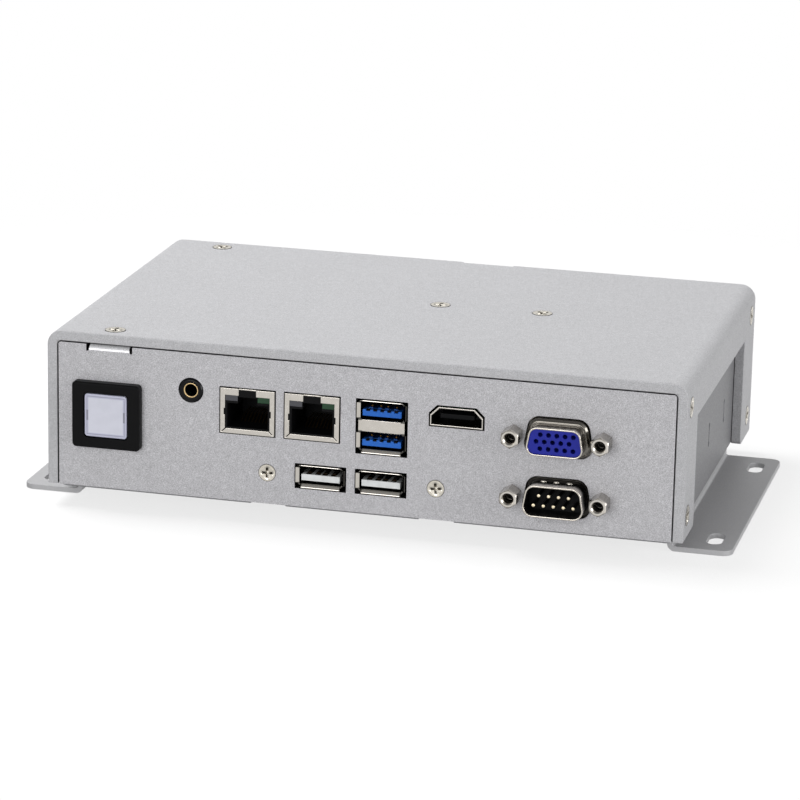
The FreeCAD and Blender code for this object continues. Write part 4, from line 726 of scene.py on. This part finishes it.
class Paints:
    """Every finish of the object, by the record's slot name or a name of its own."""

    def __init__(self) -> None:
        """Builds each finish once."""
        finishes = {
            "cover_metal": GrainedMetal((0.50, 0.50, 0.515), grain=3600.0, contrast=0.28,
                                        mask=cover_gap_shade_mask),
            "panel_metal": GrainedMetal((0.53, 0.525, 0.545), grain=3600.0, contrast=0.42,
                                        mask=panel_mask),
            "pan_metal": GrainedMetal((0.25, 0.25, 0.26), grain=2400.0),
            "bracket_metal": GrainedMetal((0.48, 0.48, 0.49), grain=2800.0),
            # Painted highlight for the outer bends of the top tabs.
            "bend_highlight": GrainedMetal((0.90, 0.90, 0.93), roughness=0.3),
            "screw_nickel": Plating((0.74, 0.70, 0.62), (0.52, 0.46, 0.36), 0.26),
            # Painted shade: the Plating and Moulding finishes here darken behind their start by
            # the share deep, so port, USB and hex nickel are shaded copies of the bright nickel,
            # and drawn and shaded nickel of the drawn one.
            "port_nickel": replace(BRIGHT, deep=0.10),
            "usb_nickel": replace(BRIGHT, deep=0.06, start=0.2 * MM, reach=0.8 * MM,
                                  mouth_side_shade=0.9),
            "hex_nickel": replace(BRIGHT, deep=0.50, start=-5.7 * MM, reach=1.2 * MM),
            "drawn_nickel": replace(DRAWN, deep=0.27, start=-5.7 * MM, reach=1.6 * MM),
            "shaded_nickel": replace(DRAWN, deep=0.04, start=-5.4 * MM, reach=3.2 * MM),
            "pin_gold": Plating((0.95, 0.84, 0.62), (0.8, 0.66, 0.4), 0.3, deep=0.02,
                                start=self.pin_tip() + 0.2 * MM, reach=0.45 * MM),
            # Painted shade: dim and faint gold are darkened gold for contacts deep in their
            # mouths.
            "dim_gold": Plating((0.04, 0.025, 0.015), (0.02, 0.012, 0.008), 0.4, deep=0.3),
            "faint_gold": Plating((0.50, 0.32, 0.12), (0.3, 0.2, 0.08), 0.4, deep=0.28),
            "spring_gold": Plating((0.75, 0.40, 0.10), (0.5, 0.25, 0.05), 0.4, deep=0.20),
            "contact_gold": Plating((0.90, 0.66, 0.34), (0.55, 0.36, 0.14), 0.3, metallic=0.7,
                                    deep=0.7),
            "block_aluminium": Plating((0.8, 0.8, 0.81), (0.6, 0.6, 0.6), 0.4),
            "cell_steel": Plating((0.75, 0.75, 0.75), (0.5, 0.5, 0.5), 0.25),
            "black_plastic": Moulding((0.004, 0.004, 0.0045), 0.42, gloss=0.09),
            "gloss_black": Moulding((0.003, 0.003, 0.004), 0.12, gloss=0.22),
            "chip": Moulding((0.03, 0.03, 0.032), 0.5),
            "thermal_pad": Moulding((0.42, 0.47, 0.55), 0.75),
            "usb_blue": Moulding((0.018, 0.15, 0.62), 0.32, coat=0.2, deep=0.12),
            "usb_white": Moulding((0.84, 0.86, 0.86), 0.35, coat=0.2, deep=0.35),
            "vga_blue": Moulding((0.014, 0.022, 0.34), 0.38, coat=0.1),
            "diffuser_white": Moulding((0.80, 0.80, 0.84), 0.5),
            "lamp_clear": Moulding((0.075, 0.075, 0.085), 0.2, coat=0.6),
            "lamp_green": Moulding((0.008, 0.055, 0.018), 0.2, coat=0.6),
            "cap_clear": LitCap(self.cap_middle()),
            "board_green": CircuitBoard((0.01, 0.09, 0.03)),
        }
        self.materials = {name: finish.build(name) for name, finish in finishes.items()}

    @staticmethod
    def cap_middle() -> tuple[float, float]:
        """X and Z of the middle of the cap."""
        low, high = Frame.box("button_cap")
        return (low[0] + high[0]) / 2, (low[2] + high[2]) / 2

    @staticmethod
    def pin_tip() -> float:
        """Place of the serial pins' tips, counted behind the front panel's face."""
        return float(Frame.box("serial_pins")[0][1] - FRONT_Y)

    def __getitem__(self, name: str) -> Material:
        """Material of a slot or of a finish of its own."""
        return self.materials[name]

    def dress_frame(self) -> None:
        """Gives every node of the frame the finish of its slot, or a darker one of its own: the
        USB 3 pins take the blue of their tongue, the USB 2 pins and network contacts a gold
        darkened as painted shade deep in their mouths.
        """
        own = {"usb3_pins": "usb_blue", "usb2_pins": "dim_gold", "rj45_contacts": "faint_gold"}
        for entry in frame["record"]["subparts"]:
            node = frame["nodes"][entry["node"]]
            node.data.materials.clear()
            node.data.materials.append(self[own.get(entry["node"], entry["material_slot"])])


def refined(node: str, paints: Paints, edge: float, body: str = HOUSING, segments: int = 2,
            finish: str = "") -> bpy.types.Object:
    """Copy of a node with merged points, dissolved flats and softly broken edges.

    Args:
        node: name of the node that the copy stands for.
        paints: finishes by slot.
        edge: width of the broken edges in metres.
        body: body that it rides on.
        segments: steps across each broken edge.
        finish: name of its finish, if it isn't the slot's own.

    Returns:
        The new piece.
    """
    flat, sharpest = math.radians(0.5), math.radians(35)
    slot = next(e["material_slot"] for e in frame["record"]["subparts"] if e["node"] == node)
    shell = bmesh.new()
    shell.from_mesh(frame["nodes"][node].data)
    bmesh.ops.remove_doubles(shell, verts=shell.verts, dist=MERGE)
    bmesh.ops.dissolve_limit(shell, angle_limit=flat, verts=shell.verts, edges=shell.edges)
    sharp = [e for e in shell.edges if e.is_manifold and e.calc_face_angle() > sharpest]
    bmesh.ops.bevel(shell, geom=sharp, offset=edge, segments=segments, profile=0.5,
                    affect="EDGES", clamp_overlap=False)
    mesh = bpy.data.meshes.new(node + "_piece")
    shell.to_mesh(mesh)
    shell.free()
    piece = settle(node + "_piece", mesh, paints[finish or slot], 60.0, body, (node,))
    weigh_normals(mesh)
    return piece


def weigh_normals(mesh: Mesh) -> None:
    """Gives each vertex the mean normal of its faces, weighted by their area.

    A vertex between a wide flat and a narrow bevel takes the flat's normal, so the flat stays
    flat and only the bevel is shaded round.
    """
    count, power = len(mesh.polygons), 1.5
    areas, normals = np.empty(count), np.empty(count * 3)
    mesh.polygons.foreach_get("area", areas)
    mesh.polygons.foreach_get("normal", normals)
    totals, corners = np.empty(count, int), np.empty(len(mesh.loops), int)
    mesh.polygons.foreach_get("loop_total", totals)
    mesh.loops.foreach_get("vertex_index", corners)
    weighted = np.repeat(normals.reshape(-1, 3) * areas[:, None] ** power, totals, axis=0)
    sums = np.zeros((len(mesh.vertices), 3))
    np.add.at(sums, corners, weighted)
    lengths = np.maximum(np.linalg.norm(sums, axis=1, keepdims=True), 1e-12)
    mesh.normals_split_custom_set_from_vertices((sums / lengths).tolist())


# ------------------------------------------------------------------------------ sheet metal
@dataclass
class Housing:
    """Cover, panels, pan and brackets."""

    paints: Paints
    cover_edge: float = 0.30 * MM
    sheet_edge: float = 0.12 * MM
    bend_radius: float = 1.8 * MM
    tab_drop: float = 0.4 * MM
    tab_inset: float = 0.2 * MM
    skins: tuple[float, float] = (0.01 * MM, 0.04 * MM)

    def build(self) -> None:
        """Each folded or milled sheet gets its broken edges."""
        refined("top_cover", self.paints, self.cover_edge)
        for node in ("front_panel", "rear_panel", "base_pan"):
            refined(node, self.paints, self.sheet_edge)
        for node in ("bracket_left", "bracket_right"):
            refined(node, self.paints, self.sheet_edge, finish="bracket_metal")
        self.bend_highlight()

    def bend_highlight(self) -> None:
        """Painted highlight: bright strips on the outer bends of the top tabs, where the bends
        catch the light.

        The strip at angle a lies at (radius - radius cos a) behind the panel's face and
        (radius - radius sin a) under the tab, a hair outside the bend.
        """
        surface = Surface()
        points = Frame.points("front_panel")
        tab = points[points[:, 1] > FRONT_Y + 4 * MM]
        ends = tab[:, 0].min() + self.tab_inset, tab[:, 0].max() - self.tab_inset
        level = tab[:, 2].max() - self.tab_drop
        angle = np.radians(np.linspace(12, 75, 10))
        for face, inward in ((FRONT_Y, 1), (REAR_Y, -1)):
            strip = []
            for skin in self.skins:
                reach = self.bend_radius + skin
                y = face + inward * (self.bend_radius - reach * np.cos(angle))
                z = level - self.bend_radius + reach * np.sin(angle)
                strip.append(np.stack([0 * y, y, z], -1))
            ring = np.concatenate([strip[0], strip[1][::-1]])
            surface.add_rings(np.stack([ring + [x, 0, 0] for x in ends]))
        surface.piece("tab_bend_highlights", self.paints["bend_highlight"], 40.0, slot="panel_metal")


# ------------------------------------------------------------------------------ screws
@dataclass(frozen=True)
class CrossScrew:
    """Screw with a cross recess: countersunk, or with a domed head that stands proud."""

    radius: float
    height: float
    arm_length: float
    arm_width: float = 0.95 * MM
    depth: float = 1.1 * MM
    shank_radius: float = 1.5 * MM
    shank_length: float = 5.0 * MM
    rim: float = 1.0
    proud: bool = False
    wall: float = 0.05          # width of the recess's walls, as a share of the radius
    domed: float = 0.55         # share of a proud head's height that is domed
    taper: float = 0.45         # how much shallower an arm is at its end

    def lines(self) -> Array:
        """Grid lines from -1 to 1, gathered where the arms of the cross have their walls."""
        arm, width = self.arm_length / self.radius, self.arm_width / 2 / self.radius
        half = [0.0, width * 0.5, width - self.wall, width, (arm + width) / 2, arm - self.wall,
                arm, 0.72, 0.84, 0.93, 1.0]
        return np.array([-h for h in half[:0:-1]] + half)

    def arm(self, a: Array, b: Array) -> Array:
        """Depth share of one arm: full inside its width and length, shallower outward."""
        wall = self.wall * self.radius
        inside = np.clip((self.arm_width / 2 - np.abs(b)) / wall, 0, 1)
        along = np.clip((self.arm_length - np.abs(a)) / wall, 0, 1)
        return inside * along * (1 - self.taper * np.clip(np.abs(a) / self.arm_length, 0, 1))

    def top(self) -> tuple[Array, Array, int]:
        """Height of the head over a square grid that is bent onto a disc.

        Inside, grid lines stay straight; towards the rim each square ring m turns into a circle,
        because the point is pulled in by m / distance. The height is the crown's minus the cross:
        the deeper of two boxes, each tapering to its ends.

        Returns:
            Array (n, n, 3) of local points, their shares of painted shade, and n.
        """
        line = self.lines()
        u, v = np.meshgrid(line, line, indexing="ij")
        square = np.maximum(np.abs(u), np.abs(v))
        distance = np.maximum(np.hypot(u, v), 1e-9)
        share = np.clip((square - 0.6) / 0.4, 0, 1)
        share = share * share * (3 - 2 * share)
        pull = 1 + share * (square / distance - 1)
        u, v = u * pull * self.radius, v * pull * self.radius
        radial = np.clip(np.hypot(u, v) / self.radius, 0, 1)
        u, v = u * self.rim, v * self.rim
        recess = np.maximum(self.arm(u, v), self.arm(v, u)) * self.depth
        crown = 0 * u
        if self.proud:
            crown = self.height * (1 - self.domed + (1 - radial ** 2.6) * self.domed)
        # Painted shade: the cross darkens away from its pale centre, and the rim darkens for the
        # shadow of the gap round the head.
        hollow_shade = np.clip(recess / self.depth * 1.6, 0, 1) * np.clip((radial - 0.12) / 0.14, 0, 1)
        hollow_shade = np.maximum(hollow_shade, np.clip((radial - 0.93) / 0.07, 0, 1))
        return np.stack([u, v, crown - recess], axis=-1), hollow_shade, len(line)

    def add_to(self, surface: Surface, spot: Spot) -> None:
        """Adds one screw whose bearing face is at the spot."""
        top, hollow_shade, n = self.top()
        index = np.arange(n * n).reshape(n, n)
        loop = np.concatenate([index[0, :-1], index[:-1, -1], index[-1, :0:-1], index[:0:-1, 0]])
        quads = np.stack([index[:-1, :-1], index[1:, :-1], index[1:, 1:], index[:-1, 1:]], -1)
        rim, shank = top.reshape(-1, 3)[loop], self.shank_radius / self.radius
        if self.proud:
            skirt = [(1.0, 0.12 * self.height), (0.99, 0.0)]
        else:
            skirt = [(0.985, -0.12 * MM), (shank, -self.height)]
        skirt += [(shank, skirt[-1][1]), (shank, -self.shank_length)]
        rings = [np.concatenate([rim[:, :2] * scale, np.full((len(rim), 1), level)], axis=1)
                 for scale, level in skirt]
        count = len(loop)
        faces, previous = quads.reshape(-1, 4).tolist(), loop
        for i in range(len(rings)):
            current = n * n + i * count + np.arange(count)
            faces += np.stack([previous, np.roll(previous, -1), np.roll(current, -1), current],
                              -1).tolist()
            previous = current
        faces.append(previous[::-1].tolist())
        # The skirt and shank get full painted shade.
        surface.add(spot.carry(np.concatenate([top.reshape(-1, 3), *rings])), faces,
                    np.concatenate([hollow_shade.ravel(), np.ones(len(rings) * count)]))


@dataclass
class Screws:
    """All visible screws: countersunk ones sit flush, those of the brackets stand proud."""

    paints: Paints
    golden_turn: float = 2.39996
    proud_height: float = 1.7 * MM

    def build(self) -> None:
        """One piece for each node, every screw with a turn of its own."""
        flush = CrossScrew(3.0 * MM, 1.5 * MM, 1.7 * MM, shank_length=6.5 * MM, rim=0.96)
        kinds = {"side_screws": flush, "top_screws": flush,
                 "heat_screws": replace(flush, shank_length=7.0 * MM),
                 "panel_screws": CrossScrew(2.5 * MM, 1.0 * MM, 1.5 * MM, 0.8 * MM, 1.3 * MM,
                                            shank_length=5.5 * MM, rim=0.985),
                 "bracket_screws": CrossScrew(2.65 * MM, self.proud_height, 1.55 * MM,
                                              proud=True)}
        for node, screw in kinds.items():
            surface = Surface()
            for i, (low, high) in enumerate(Frame.parts(node)):
                screw.add_to(surface, self.spot(node, low, high, i * self.golden_turn))
            surface.piece(node + "_piece", self.paints["screw_nickel"], 30.0,
                          replaces=(node,), slot="screw_nickel")

    def spot(self, node: str, low: Array, high: Array, turn: float) -> Spot:
        """Place of the bearing face, on the outer side of the box of one screw."""
        x, y, z = (low + high) / 2
        if node == "side_screws":
            return Spot(high[0], y, z, Facing.RIGHT, turn) if x > 0 else \
                Spot(low[0], y, z, Facing.LEFT, turn)
        if node == "panel_screws":
            return Spot(x, low[1], z, Facing.FRONT, turn) if y < 0 else \
                Spot(x, high[1], z, Facing.REAR, turn)
        if node == "bracket_screws":
            return Spot(x, y, low[2] + self.proud_height, Facing.DOWN, turn)
        return Spot(x, y, high[2], Facing.UP, turn)


# ------------------------------------------------------------------------------ connectors
@dataclass
class Ports:
    """Connectors of the front panel, with the small parts that only show close up."""

    paints: Paints
    shell_edge: float = 0.10 * MM
    drawn_edge: float = 0.16 * MM
    plastic_edge: float = 0.12 * MM
    pin_edge: float = 0.22 * MM
    flare_inner: tuple[tuple[int, float], ...] = ((-1, 6.04 * MM), (1, 6.78 * MM))
    flare_outer: float = 7.06 * MM
    flare_half: float = 2.15 * MM
    flare_sheet: float = 0.05 * MM
    notches: Row = Row((-4.0, -2.0, 0.0, 2.0, 4.0), 0.80 * MM, -0.30 * MM)
    springs: Row = Row((-3.5, -1.0, 1.0, 3.5), 3.0 * MM, 0.45 * MM, Facing.FRONT)
    dimples: Row = Row((-3.6, 0.0, 3.6), -0.9 * MM, 0.0)
    slots: Row = Row((0.0,), 1.2 * MM, 0.005 * MM)

    def build(self) -> None:
        """Softens every connector and adds contacts, dimples, flares, and black blocks of painted
        shade in the tongues' slots and notches.
        """
        for node in ("rj45_shields", "hdmi_shell"):
            refined(node, self.paints, self.shell_edge)
        for node in ("usb3_shell", "usb2_shells"):
            refined(node, self.paints, self.shell_edge, finish="usb_nickel")
        for node, finish in (("vga_shell", "drawn_nickel"), ("serial_shell", "shaded_nickel")):
            refined(node, self.paints, self.drawn_edge, segments=3, finish=finish)
        for node in ("usb3_tongues", "usb2_tongues", "hdmi_insert",
                     "audio_ring", "vga_insert", "lamps_clear", "lamps_green"):
            refined(node, self.paints, self.plastic_edge)
        refined("audio_body", self.paints, self.plastic_edge, finish="gloss_black")
        refined("serial_pins", self.paints, self.pin_edge, segments=3, finish="pin_gold")
        self.shell_dimples()
        self.spring_contacts()
        self.slot_shadows()
        self.notch_shadows()
        self.side_flares()

    def side_flares(self) -> None:
        """Flared lips at both sides of each USB mouth, bent from the wall out to the panel."""
        surface = Surface()
        share = np.linspace(0, 1, 7)
        for low, high in Frame.mouths():
            middle, level = (low[0] + high[0]) / 2, (low[2] + high[2]) / 2
            for side, inner in self.flare_inner:
                x = middle + side * (inner + (self.flare_outer - inner) * share)
                y = FRONT_Y - (0.04 + 0.32 * share) * MM
                strip = np.stack([x, y, 0 * x], -1)
                ring = np.concatenate([strip, strip[::-1] + [0, self.flare_sheet, 0]])
                surface.add_rings(np.stack([ring + [0, 0, level + height]
                                            for height in (-self.flare_half, self.flare_half)]))
        surface.piece("usb_flares", self.paints["port_nickel"], 50.0, slot="port_nickel")

    def notch_shadows(self) -> None:
        """Painted shade: black floors laid in the five notches of each blue tongue."""
        surface = Surface()
        for low, high in Frame.parts("usb3_tongues"):
            for spot in self.notches.spots(low, high, low[1], self.tongue_top(low, high)):
                surface.add_block(spot, (1.06 * MM, 1.5 * MM), 0.1 * MM, (0.0, 0.22 * MM))
        surface.piece("usb3_notch_shadows", self.paints["black_plastic"], slot="black_plastic")

    @staticmethod
    def tongue_top(low: Array, high: Array) -> float:
        """Upper level of a tongue in the box of its whole part."""
        points = Frame.points("usb3_tongues")
        near = (points[:, 1] < low[1] + 0.5 * MM) & (points[:, 2] > low[2] - MM) \
            & (points[:, 2] < high[2] + MM)
        return points[near][:, 2].max()

    def shell_dimples(self) -> None:
        """Three pressed dimples on the top of the serial shell, close to the panel."""
        low, high = Frame.box("serial_shell")
        points = Frame.points("serial_shell")
        top = points[points[:, 1] < FRONT_Y - 1.0 * MM][:, 2].max()
        surface = Surface()
        for spot in self.dimples.spots(low, high, FRONT_Y, top):
            surface.add_dome(spot, 0.85 * MM, 0.45 * MM, 0.3 * MM)
        surface.piece("serial_dimples", self.paints["screw_nickel"], 60.0, slot="port_nickel")

    def spring_contacts(self) -> None:
        """Four rounded spring contacts over each blue tongue, hanging from the shell's roof."""
        surface = Surface()
        for low, high in Frame.parts("usb3_tongues"):
            for spot in self.springs.spots(low, high, low[1], self.tongue_top(low, high)):
                surface.add_dome(spot, 0.36 * MM, 0.36 * MM, 0.3 * MM)
        surface.piece("usb3_springs", self.paints["spring_gold"], 60.0, slot="contact_gold")

    def slot_shadows(self) -> None:
        """Painted shade: black blocks round the contacts of the white tongues, where their slots
        lie in shade.
        """
        surface = Surface()
        for low, high in Frame.parts("usb2_pins"):
            for spot in self.slots.spots(low, high, low[1], low[2]):
                surface.add_block(spot, (1.5 * MM, 5.0 * MM), 0.3 * MM, (-0.2 * MM, 0.03 * MM))
        surface.piece("usb2_slot_shadows", self.paints["black_plastic"], slot="black_plastic")


@dataclass(frozen=True)
class HexPillar:
    """Hex jackscrew: flats cut by a turned chamfer, and a threaded bore with a wide mouth."""

    across_flats: float = 4.8 * MM
    length: float = 5.8 * MM
    face_radius: float = 2.2 * MM
    mouth_radius: float = 1.75 * MM
    mouth_depth: float = 0.4 * MM
    bore_radius: float = 1.35 * MM
    bore_depth: float = 4.5 * MM
    thread_depth: float = 0.17 * MM
    pitch: float = 0.6 * MM
    stud_radius: float = 1.4 * MM
    stud_length: float = 5.0 * MM
    chamfer: float = math.radians(32)
    around: int = 72

    def stations(self) -> list[tuple[float, float]]:
        """Radius and level of each ring, from the stud's tip over the face into the bore."""
        corner = self.across_flats / math.sqrt(3)
        found = [(self.stud_radius, -self.stud_length), (self.stud_radius, 0.0),
                 (corner - 0.25 * MM, 0.0), (corner, 0.15 * MM)]
        drop = (corner - self.face_radius) * math.tan(self.chamfer)
        found += [(corner + (self.face_radius - corner) * a, self.length - drop * (1 - a))
                  for a in np.linspace(0.0, 1.0, 6)]
        top = self.length - self.mouth_depth
        found += [(self.mouth_radius, self.length), (self.bore_radius, top)]
        for i in range(int((self.bore_depth - self.mouth_depth) / self.pitch)):
            level = top - i * self.pitch
            found += [(self.bore_radius - self.thread_depth, level - self.pitch / 2),
                      (self.bore_radius, level - self.pitch)]
        return found + [(self.bore_radius, self.length - self.bore_depth)]

    def rings(self) -> tuple[Array, Array]:
        """Rings (rings, points, 3) of the pillar and the share of painted shade of each, 0.8 in
        the bore.

        The radius is nowhere more than a flat allows: min(flat / cos(angle), radius).
        """
        turn = np.linspace(0, 2 * math.pi, self.around, endpoint=False)
        sector = (turn + math.pi / 6) % (math.pi / 3) - math.pi / 6
        rings = []
        for radius, level in self.stations():
            reach = np.minimum(self.across_flats / 2 / np.cos(sector), radius)
            rings.append(np.stack([reach * np.cos(turn), reach * np.sin(turn),
                                   np.full(self.around, level)], axis=-1))
        radii = np.array([radius for radius, _ in self.stations()])
        # Painted shade in the threaded bore.
        hollow_shade = (radii < self.mouth_radius) & (np.arange(len(radii)) > 2)
        return np.array(rings), hollow_shade * 0.8

    def build(self, paints: Paints) -> None:
        """One pillar on each loose part of the node, with its stud through the panel."""
        surface = Surface()
        rings, hollow_shade = self.rings()
        for low, high in Frame.parts("jackscrews"):
            spot = Spot((low[0] + high[0]) / 2, low[1] + self.length, (low[2] + high[2]) / 2)
            surface.add_rings(spot.carry(rings), hollow_shade)
        surface.piece("jackscrews_piece", paints["hex_nickel"], 24.0,
                      replaces=("jackscrews",), slot="port_nickel")


@dataclass
class PowerParts:
    """Power switch in the front panel and power inlet in the rear one."""

    paints: Paints

    def build(self) -> None:
        """Flat bezel with a small broken edge, soft cap, soft edges on the parts of the inlet."""
        refined("switch_bezel", self.paints, 0.12 * MM)
        refined("button_cap", self.paints, 0.25 * MM, BUTTON, 3)
        for node, edge in (("inlet_body", 0.2 * MM), ("inlet_nut", 0.3 * MM),
                           ("inlet_pin", 0.3 * MM)):
            refined(node, self.paints, edge, segments=3)


# ------------------------------------------------------------------------------ studio
@dataclass
class Studio:
    """Camera, lights, pale floor and white surroundings."""

    eye: tuple[float, float, float] = (0.24650, -1.00180, 0.32151)
    azimuth: float = math.radians(13.991)
    elevation: float = math.radians(16.132)
    roll: float = math.radians(1.164)
    lens: float = 166.05
    aim: tuple[float, float, float] = (0, 0, 0.02)
    floor_radius: float = 4.0
    floor_color: Color = (0.93, 0.93, 0.93)
    floor_solid: float = 0.16
    floor_end: float = 0.34
    floor_veil: float = 0.75
    glossy_front: float = 0.70
    glossy_right: float = 0.95
    glossy_rear: float = 0.85
    glossy_rest: float = 0.28
    ambient: float = 0.25
    front_way: tuple[float, float] = (-0.45, -0.9)
    right_way: tuple[float, float] = (0.1, 0.7)
    right_front_way: tuple[float, float] = (0.1, -0.4)
    rear_way: tuple[float, float] = (0.35, 0.8)

    def camera(self) -> None:
        """Camera at the viewing angle: turned about Z, tipped down, then rolled."""
        data = bpy.data.cameras.new("camera")
        data.lens, data.sensor_width = self.lens, 36.0
        data.clip_start, data.clip_end = 0.05, 20.0
        camera = bpy.data.objects.new("camera", data)
        bpy.context.scene.collection.objects.link(camera)
        turn = (Matrix.Rotation(self.azimuth, 4, "Z")
                @ Matrix.Rotation(math.pi / 2 - self.elevation, 4, "X")
                @ Matrix.Rotation(self.roll, 4, "Z"))
        camera.matrix_world = Matrix.Translation(self.eye) @ turn
        bpy.context.scene.camera = camera

    def lamp(self, name: str, place: tuple[float, float, float], size: float, power: float,
             mirrored: bool = True) -> None:
        """Soft area lamp aimed at the object; it can be kept out of reflections."""
        data = bpy.data.lights.new(name, "AREA")
        data.energy, data.size = power, size
        lamp = bpy.data.objects.new(name, data)
        bpy.context.scene.collection.objects.link(lamp)
        lamp.location = place
        lamp.visible_glossy = mirrored
        way = Vector(self.aim) - Vector(place)
        lamp.rotation_euler = way.to_track_quat("-Z", "Y").to_euler()

    def floor(self) -> None:
        """Wide pale disc that fades to clear away from the object and in reflections."""
        count, radius = 64, self.floor_radius
        angle = np.linspace(0, 2 * math.pi, count, endpoint=False)
        ring = np.stack([np.cos(angle) * radius, np.sin(angle) * radius,
                         0 * angle - 0.1 * MM], -1)
        mesh = bpy.data.meshes.new("floor")
        mesh.from_pydata(ring.tolist(), [], [list(range(count))])
        material, n, shader = new_material("floor")
        place = n.place()
        n.feed(shader, {"Roughness": n.middle(n.noise(place, 8.0), 0.7, 0.8),
                        "Base Color": (*self.floor_color, 1), "Specular IOR Level": 0.0})
        reach = n.add("VectorMath", {0: place}, operation="LENGTH").outputs["Value"]
        faded = n.ramp(reach, self.floor_solid, self.floor_end, self.floor_veil, 1.0)
        mirrored = n.add("LightPath").outputs["Is Glossy Ray"]
        blend = n.add("MixShader", {0: n.math("MAXIMUM", faded, mirrored), 1: shader.outputs[0],
                                    2: n.add("BsdfTransparent").outputs[0]})
        n.feed(n.tree.nodes["Material Output"], {"Surface": blend.outputs[0]})
        mesh.materials.append(material)
        floor = bpy.data.objects.new("floor", mesh)
        bpy.context.scene.collection.objects.link(floor)

    def world(self) -> None:
        """White to the camera, grey as light; reflections see a bright right and a dim rest."""
        world = bpy.data.worlds.new("world")
        bpy.context.scene.world = world
        world.use_nodes = True
        n = Nodes(world.node_tree)
        path = n.add("LightPath").outputs
        way = n.axes(n.add("TexCoord").outputs["Generated"])
        front = n.ramp(way["Y"], *self.front_way, 0.0, self.glossy_front)
        right = n.math("MULTIPLY", n.ramp(way["X"], *self.right_way),
                       n.ramp(way["Y"], *self.right_front_way, 0.0, self.glossy_right))
        rear = n.ramp(way["Y"], *self.rear_way, 0.0, self.glossy_rear)
        lit = n.math("MAXIMUM", n.math("MAXIMUM", front, right), rear)
        mirrored = n.math("MAXIMUM", lit, self.glossy_rest)
        seen = n.math("MAXIMUM", path["Is Camera Ray"], path["Is Transmission Ray"])
        glossy = n.math("MULTIPLY", path["Is Glossy Ray"], mirrored)
        strength = n.math("MAXIMUM", n.math("MAXIMUM", seen, glossy), self.ambient)
        n.feed(n.tree.nodes["Background"], {"Color": (1, 1, 1, 1), "Strength": strength})

    def build(self) -> None:
        """Sets up everything around the object."""
        self.camera()
        self.floor()
        self.world()
        self.lamp("overhead", (-0.45, 0.15, 0.95), 0.6, 12.3, mirrored=False)
        self.lamp("front", (-0.25, -1.3, 0.35), 0.9, 8.4)
        self.lamp("right", (1.1, -0.25, 0.25), 0.6, 6.2)
        scene = bpy.context.scene
        scene.view_settings.view_transform = "Standard"


def main() -> None:
    """Builds every group of pieces in order."""
    logging.basicConfig(level=logging.INFO)
    paints = Paints()
    paints.dress_frame()
    Studio().build()
    Housing(paints).build()
    Screws(paints).build()
    Ports(paints).build()
    HexPillar().build(paints)
    PowerParts(paints).build()


if __name__ == "__main__":
    main()
